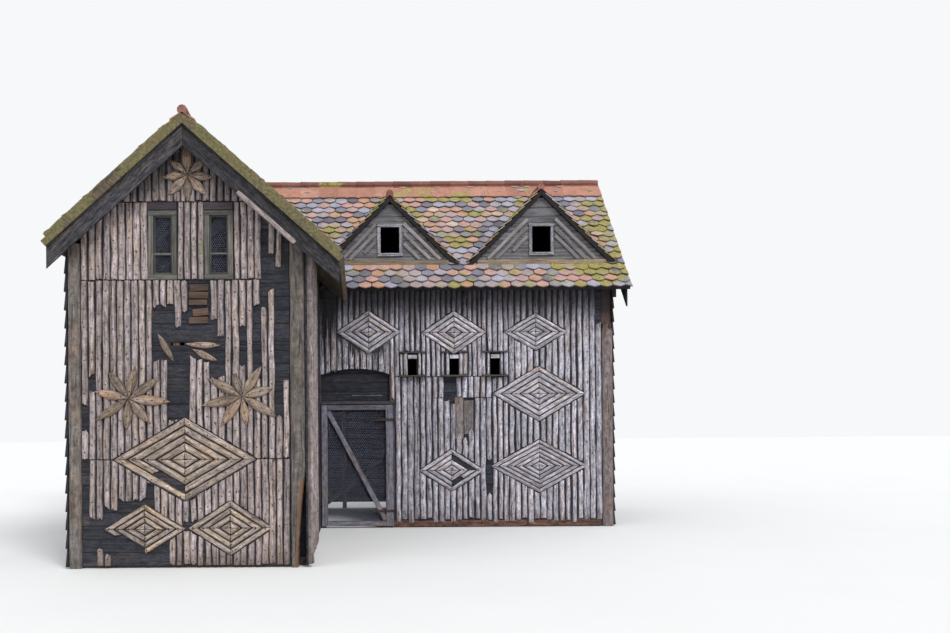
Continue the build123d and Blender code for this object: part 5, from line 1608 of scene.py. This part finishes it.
def dormer_spans():
    """Centre and half width of each dormer, from its window frame and its slope."""
    frames = sorted(islands("dormer_window_frames"), key=lambda solid: solid[:, 0].min())
    centres = [(solid[:, 0].min() + solid[:, 0].max()) / 2 for solid in frames]
    slopes = sorted(islands("dormer_left_slopes"), key=lambda solid: solid[:, 0].min())
    peaks = [solid[:, 2].max() for solid in slopes]
    return [(centre, peak - dormer_foot_z) for centre, peak in zip(centres, peaks)]


def wing_slopes():
    """The wing's two slopes: where each one's eave lies, its side and its length up to the ridge."""
    for eave_x, side in ((x_verge_left + 0.006, 1), (x_wing_eave, -1)):
        yield eave_x, side, abs(x_wing_ridge - eave_x) / math.cos(sizes().wing_pitch)


class DOVECOTE_OT_roofs(bpy.types.Operator):
    """Pointed clay tiles on every slope, and the moss along the wing's verges"""

    bl_idname = "dovecote.roofs"
    bl_label = "Roofs"

    def execute(self, context):
        rng = np.random.default_rng(53)
        pitch = sizes().main_pitch
        under_ridge, front_overhang, back_overhang = 0.08, 0.1, -0.072
        run = (y_ridge - y_eave) / math.cos(pitch) - under_ridge
        eave_z = main_roof_z(y_eave)
        width = x_verge_right - x_verge_left
        dormers = dormer_spans()

        def on_main_front(points):
            x, y, z = points.T
            clear = wing_roof_z(x) < z + 0.06
            clear |= x > x_wing_eave + 0.02
            for centre, half in dormers:
                dormer_z = dormer_foot_z + half - np.abs(x - centre)
                clear &= (dormer_z < z + 0.05) | (y < y_dormer - 0.03)
            return clear

        def everywhere(points):
            return np.ones(len(points), bool)

        tiles = Heap()
        up = (0, math.cos(pitch), math.sin(pitch))
        start = (x_verge_left, y_eave, eave_z)
        tile_slope(tiles, rng, start, (1, 0, 0), up, width, run, on_main_front, front_overhang)
        front_clay = clay("front_tiles", tile_ramp, 0.33, thicker=(1.2, x_verge_right, 0.6))
        tiles.finish("main_front_tiles", front_clay, "house", "tiles", sharp=50)
        tiles = Heap()
        up = (0, -math.cos(pitch), math.sin(pitch))
        start = (x_verge_left, y_back_eave - 0.006, eave_z)
        tile_slope(tiles, rng, start, (1, 0, 0), up, width, run, everywhere, back_overhang)
        tiles.finish("main_back_tiles", clay("back_tiles", tile_ramp, 0.42), "house", "tiles", sharp=50)
        self.wing(rng)
        self.dormers(rng, dormers)
        # Near-black roof slabs: their eave and verge faces show painted shade
        boarding = wood("roof_boards", "x")
        give(boarding, "main_roof_front", "main_roof_back", "dormer_left_slopes", "dormer_right_slopes")
        return {"FINISHED"}

    def wing(self, rng):
        """The wing's two slopes, laid over the main front slope."""
        pitch = sizes().wing_pitch
        depth = y_ridge - y_verge

        def on_wing(points):
            x, y, z = points.T
            return (z > main_roof_z(y) - 0.02) | (y < y_eave - 0.05)

        wing_clay = clay("wing_tiles", tile_ramp, 0.47)
        tiles = Heap()
        for eave_x, side, run in wing_slopes():
            up = (side * math.cos(pitch), 0, math.sin(pitch))
            start = (eave_x, y_verge + 0.012, wing_roof_z(eave_x))
            tile_slope(tiles, rng, start, (0, 1, 0), up, depth, run - 0.07, on_wing, -tail_depth)
        tiles.finish("wing_tiles", wing_clay, "house", "tiles", sharp=50)
        self.verge_moss()
        give(wood("verge_wood"), "wing_roof_left", "wing_roof_right")

    def verge_moss(self):
        """A moss grown fillet over the tiles' ends along both front verges of the wing.

        The section is a low hump beside the verge, carried up the slope. Its height
        wavers, and sinks where the ridge tiles cover it.
        """
        rng = np.random.default_rng(67)
        pitch = sizes().wing_pitch
        covered = (0.16, 0.25)
        beside = np.array([0.002, 0.002, 0.014, 0.045, 0.085, 0.12, 0.135])
        proud = np.array([-0.004, 0.038, 0.06, 0.067, 0.063, 0.045, -0.004])
        fillet = Heap()
        for eave_x, side, run in wing_slopes():
            step = np.linspace(tail_depth, run - 0.012, 70)
            swell = 0.8 + waver(rng, step, 0.06, 0.3) + waver(rng, step, 0.05, 0.11)
            swell = swell * np.interp(run - step, covered, (0.5, 1.0))
            rise = proud[None, :] * swell[:, None]
            x = eave_x + side * (step[:, None] * math.cos(pitch) - rise * math.sin(pitch))
            y = y_verge + beside[None, :] + np.abs(waver(rng, step, 0.006, 0.2))[:, None]
            z = wing_roof_z(eave_x) + step[:, None] * math.sin(pitch) + rise * math.cos(pitch)
            across = np.broadcast_to(beside + proud, x.shape) + rng.uniform(0, 50)
            rings = np.stack([x, np.broadcast_to(y, x.shape), z], -1)
            fillet.tube(rings, across, step[:, None], rng.uniform(), 0.0)
        fillet.finish("verge_moss", wood("verge_moss"), "house", "tiles")

    def dormers(self, rng, dormers):
        """The small slopes of the dormers."""
        tiles = Heap()
        low_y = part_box("dormer_left_slopes")[0].y
        for centre, half in dormers:
            peak = dormer_foot_z + half
            run = half * math.sqrt(2)

            def on_dormer(points):
                x, y, z = points.T
                return z > main_roof_z(y)

            for side in (-1, 1):
                start = (centre + side * half, low_y + 0.004, peak - half)
                up = (-side * math.sqrt(0.5), 0, math.sqrt(0.5))
                depth = (half + 0.2) / math.tan(sizes().main_pitch)
                tile_slope(tiles, rng, start, (0, 1, 0), up, depth, run - 0.05, on_dormer)
        tiles.finish("dormer_tiles", clay("dormer_tiles", tile_ramp, 0.5), "house", "tiles", sharp=50)


def ridge_run(heap, rng, start, end, pitch, tile_length=0.34, wing=0.19, roll=0.058, band=0.5):
    """Ridge tiles: an angled cap with a round roll, repeated along the ridge.

    The section is a closed line: two wings that follow the slopes and a part circle
    over the joint. Each tile tips and slides a little against the next.
    """
    start, end = np.array(start, float), np.array(end, float)
    length = np.linalg.norm(end - start)
    run = (end - start) / length
    side = np.array([run[1], -run[0], 0.0])
    thick, bedded, overlap = 0.016, 0.034, 0.02
    lifted = bedded / math.cos(pitch)
    reach, fall = wing * math.cos(pitch), wing * math.sin(pitch) - lifted
    turn = np.linspace(-0.25 * math.pi, 1.25 * math.pi, 9)
    centre = thick + roll * 0.45
    roll_points = [(roll * math.cos(t), centre + roll * math.sin(t)) for t in turn]
    right_wing = [(reach, -fall), (reach, -fall + thick * 1.4)]
    left_wing = [(-reach, -fall + thick * 1.4), (-reach, -fall)]
    section = np.array([*right_wing, *roll_points, *left_wing, (0, lifted * 0.4)])
    count = max(1, round(length / tile_length))
    step = length / count
    begins = np.arange(count) * step
    shares = np.array([0.0, 0.03, 0.5, 0.97, 1.0])
    flare = np.array([1.03, 1.04, 1.0, 0.985, 0.98])
    along = np.minimum(begins[:, None] + shares[None, :] * (step + overlap), length)
    tilt = rng.normal(0, 0.0035, count)[:, None] * (shares - 0.5)[None, :]
    lift = rng.normal(0, 0.0025, count)[:, None] + tilt
    shift = rng.normal(0, 0.003, count)
    a = section[None, None, :, 0] * flare[None, :, None] + shift[:, None, None]
    b = section[None, None, :, 1] * flare[None, :, None] + np.minimum(lift, 0.0)[:, :, None] + 0.002
    upright = np.array([0, 0, 1.0])
    rings = start + along[:, :, None, None] * run + a[..., None] * side + b[..., None] * upright
    tone = rng.beta(2, 2, count)[:, None, None] * 0.5
    rolled = np.zeros(len(section))
    rolled[:2] = band
    rolled[-3:] = band
    tone = np.clip(tone + rolled[None, None, :], 0, 1)
    heap.tubes(rings, 0.0, 0.0, tone, 0.0)


class DOVECOTE_OT_ridges(bpy.types.Operator):
    """Ridge tiles with a round roll"""

    bl_idname = "dovecote.ridges"
    bl_label = "Ridges"

    def top_course(self, heap, rng, side, near=0.085, far=0.4, step=0.33):
        """Plain tiles along the main ridge, under the crest tiles and over the pointed ones."""
        edge, thick, end_gap, raised = 0.012, 0.016, 0.006, 0.046
        slope = sizes().main_pitch
        up = np.array([0, -side * math.cos(slope), math.sin(slope)])
        normal = np.array([0, side * math.sin(slope), math.cos(slope)])
        count = round((x_verge_right - x_verge_left) / step)
        step = (x_verge_right - x_verge_left - end_gap * 2) / count
        begins = x_verge_left + end_gap + np.arange(count) * step
        lift = raised + rng.normal(0, 0.0015, count)
        drop = far + rng.normal(0, 0.004, count)
        section = [(0, 0), (0, edge), (0.06, thick), (0.94, thick), (1, edge), (1, 0), (0.5, 0)]
        section = np.array(section)
        shares = np.array([0.002, 0.02, 0.5, 0.98, 0.998])
        down = near + (drop[:, None] - near) * section[None, :, 0]
        out = lift[:, None] + section[None, :, 1] - edge * (1 - section[None, :, 0])
        apex = np.array([0, y_ridge, main_ridge_z])
        flat = apex - down[..., None] * up + out[..., None] * normal
        x = begins[:, None] + shares[None, :] * step
        rings = np.repeat(flat[:, None], len(shares), 1)
        rings[..., 0] = x[:, :, None]
        heap.tubes(rings, 0.0, 0.0, rng.beta(1.5, 1.5, count)[:, None, None], 0.0)

    def execute(self, context):
        rng = np.random.default_rng(61)
        ramp = (
            (0.0, (0.15, 0.06, 0.05)),
            (0.25, (0.2, 0.085, 0.066)),
            (0.5, (0.26, 0.115, 0.09)),
            (0.75, colours().clay),
            (1.0, (0.46, 0.22, 0.15)),
        )
        ridge_clay = clay("ridge_clay", ramp, 0.22)
        caps = Heap()
        start, end = ((x, y_ridge, main_ridge_z) for x in (x_verge_left + 0.004, x_verge_right - 0.004))
        ridge_run(caps, rng, start, end, sizes().main_pitch, wing=0.13, band=0.0)
        caps.finish("main_ridge_caps", ridge_clay, "house", "ridge_tiles", ["main_ridge_tiles"], sharp=30)
        course = Heap()
        for side in (-1, 1):
            self.top_course(course, rng, side)
        pink_ramp = ((0.0, (0.33, 0.15, 0.105)), (0.5, colours().clay), (1.0, (0.47, 0.27, 0.2)))
        pink = clay("top_course_clay", pink_ramp, 0.2)
        course.finish("top_course_tiles", pink, "house", "ridge_tiles", sharp=30)
        caps = Heap()
        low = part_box("wing_ridge_tiles")[0]
        meet = y_ridge - (main_ridge_z - wing_ridge_z) / math.tan(sizes().main_pitch)
        start = (x_wing_ridge, low.y + 0.004, wing_ridge_z)
        ridge_run(caps, rng, start, (x_wing_ridge, meet + 0.05, wing_ridge_z), sizes().wing_pitch)
        caps.finish("wing_ridge_caps", ridge_clay, "house", "ridge_tiles", ["wing_ridge_tiles"], sharp=30)
        caps = Heap()
        low_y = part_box("dormer_ridge_tiles")[0].y
        for centre, half in dormer_spans():
            peak = dormer_foot_z + half
            meet = y_ridge - (main_ridge_z - peak) / math.tan(sizes().main_pitch)
            start, end = (centre, low_y + 0.004, peak), (centre, meet + 0.04, peak)
            ridge_run(caps, rng, start, end, math.radians(45), 0.3)
        replaced = ["dormer_ridge_tiles"]
        caps.finish("dormer_ridge_caps", ridge_clay, "house", "ridge_tiles", replaced, sharp=30)
        return {"FINISHED"}


# Stage


class DOVECOTE_OT_stage(bpy.types.Operator):
    """Pale floor, soft studio light and the camera at the photograph's angle"""

    bl_idname = "dovecote.stage"
    bl_label = "Stage"

    def execute(self, context):
        scene = context.scene
        half, level = 60.0, -0.001
        mesh = bpy.data.meshes.new("floor")
        corners = [(-half, -half, level), (half, -half, level), (half, half, level), (-half, half, level)]
        mesh.from_pydata(corners, [], [(0, 1, 2, 3)])
        floor = bpy.data.objects.new("floor", mesh)
        scene.collection.objects.link(floor)
        material = bpy.data.materials.new("pale_floor")
        material.use_nodes = True
        tree = material.node_tree
        shader = tree.nodes["Principled BSDF"]
        shader.inputs["Roughness"].default_value = 0.9
        place = add_node(tree, "ShaderNodeTexCoord").outputs["Object"]
        cloud = noise(tree, place, 0.6, detail=2.0)
        pale = mixed(tree, cloud, (0.76, 0.76, 0.75, 1), (0.8, 0.8, 0.79, 1))
        tree.links.new(pale, shader.inputs["Base Color"])
        mesh.materials.append(material)

        world = bpy.data.worlds.new("studio")
        world.use_nodes = True
        tree = world.node_tree
        tree.nodes.clear()
        path = add_node(tree, "ShaderNodeLightPath").outputs
        soft = add_node(tree, "ShaderNodeBackground", {"Color": (0.93, 0.96, 1.0, 1), "Strength": 0.78})
        plain = add_node(tree, "ShaderNodeBackground", {"Color": (0.93, 0.94, 0.95, 1), "Strength": 1.0})
        seen = combined(tree, "MAXIMUM", path["Is Camera Ray"], path["Is Glossy Ray"])
        seen = combined(tree, "MAXIMUM", seen, path["Is Transmission Ray"])
        either = add_node(tree, "ShaderNodeMixShader", {0: seen, 1: soft.outputs[0], 2: plain.outputs[0]})
        out = tree.nodes.new("ShaderNodeOutputWorld")
        tree.links.new(either.outputs[0], out.inputs[0])
        scene.world = world

        for name, strength, turn, spread in (
            ("key_light", 2.0, (math.radians(48), 0, math.radians(28)), 22),
            ("fill_light", 0.6, (math.radians(62), 0, math.radians(-48)), 50),
        ):
            lamp = bpy.data.lights.new(name, "SUN")
            lamp.energy = strength
            lamp.angle = math.radians(spread)
            made = bpy.data.objects.new(name, lamp)
            made.rotation_euler = turn
            scene.collection.objects.link(made)

        data = bpy.data.cameras.new("view")
        data.sensor_width = 36.0
        data.lens = 35.24
        data.shift_x = 0.1237
        data.shift_y = 0.1068
        data.clip_end = 300.0
        camera = bpy.data.objects.new("view", data)
        camera.location = (x_corner + 0.614, y_main - 15.0, 1.77)
        camera.rotation_euler = (math.radians(90), math.radians(0.4), 0)
        scene.collection.objects.link(camera)
        scene.camera = camera
        scene.view_settings.view_transform = "Standard"
        return {"FINISHED"}


operators = (
    DOVECOTE_OT_cladding,
    DOVECOTE_OT_posts,
    DOVECOTE_OT_walls,
    DOVECOTE_OT_windows,
    DOVECOTE_OT_door,
    DOVECOTE_OT_trims,
    DOVECOTE_OT_dormers,
    DOVECOTE_OT_inside,
    DOVECOTE_OT_roofs,
    DOVECOTE_OT_ridges,
    DOVECOTE_OT_stage,
)


class DOVECOTE_PT_panel(bpy.types.Panel):
    """Sizes, colours and the operators in their order"""

    bl_idname = "DOVECOTE_PT_panel"
    bl_label = "Dovecote"
    bl_space_type = "VIEW_3D"
    bl_region_type = "UI"
    bl_category = "Dovecote"

    def draw(self, context):
        for group in (context.scene.dovecote_sizes, context.scene.dovecote_colours):
            box = self.layout.box()
            for name in group.__annotations__:
                box.prop(group, name)
        for operator in operators:
            self.layout.operator(operator.bl_idname)


classes = (DovecoteSizes, DovecoteColours, *operators, DOVECOTE_PT_panel)


def register():
    """Register the classes and hang the settings on the scene."""
    for entry in classes:
        bpy.utils.register_class(entry)
    bpy.types.Scene.dovecote_sizes = PointerProperty(type=DovecoteSizes)
    bpy.types.Scene.dovecote_colours = PointerProperty(type=DovecoteColours)


def unregister():
    """Take the settings and the classes away."""
    del bpy.types.Scene.dovecote_sizes
    del bpy.types.Scene.dovecote_colours
    for entry in reversed(classes):
        bpy.utils.unregister_class(entry)


def main():
    """Make the pieces in order."""
    register()
    for operator in operators:
        getattr(bpy.ops.dovecote, operator.bl_idname.split(".")[1])()
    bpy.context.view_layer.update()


if __name__ == "__main__":
    main()
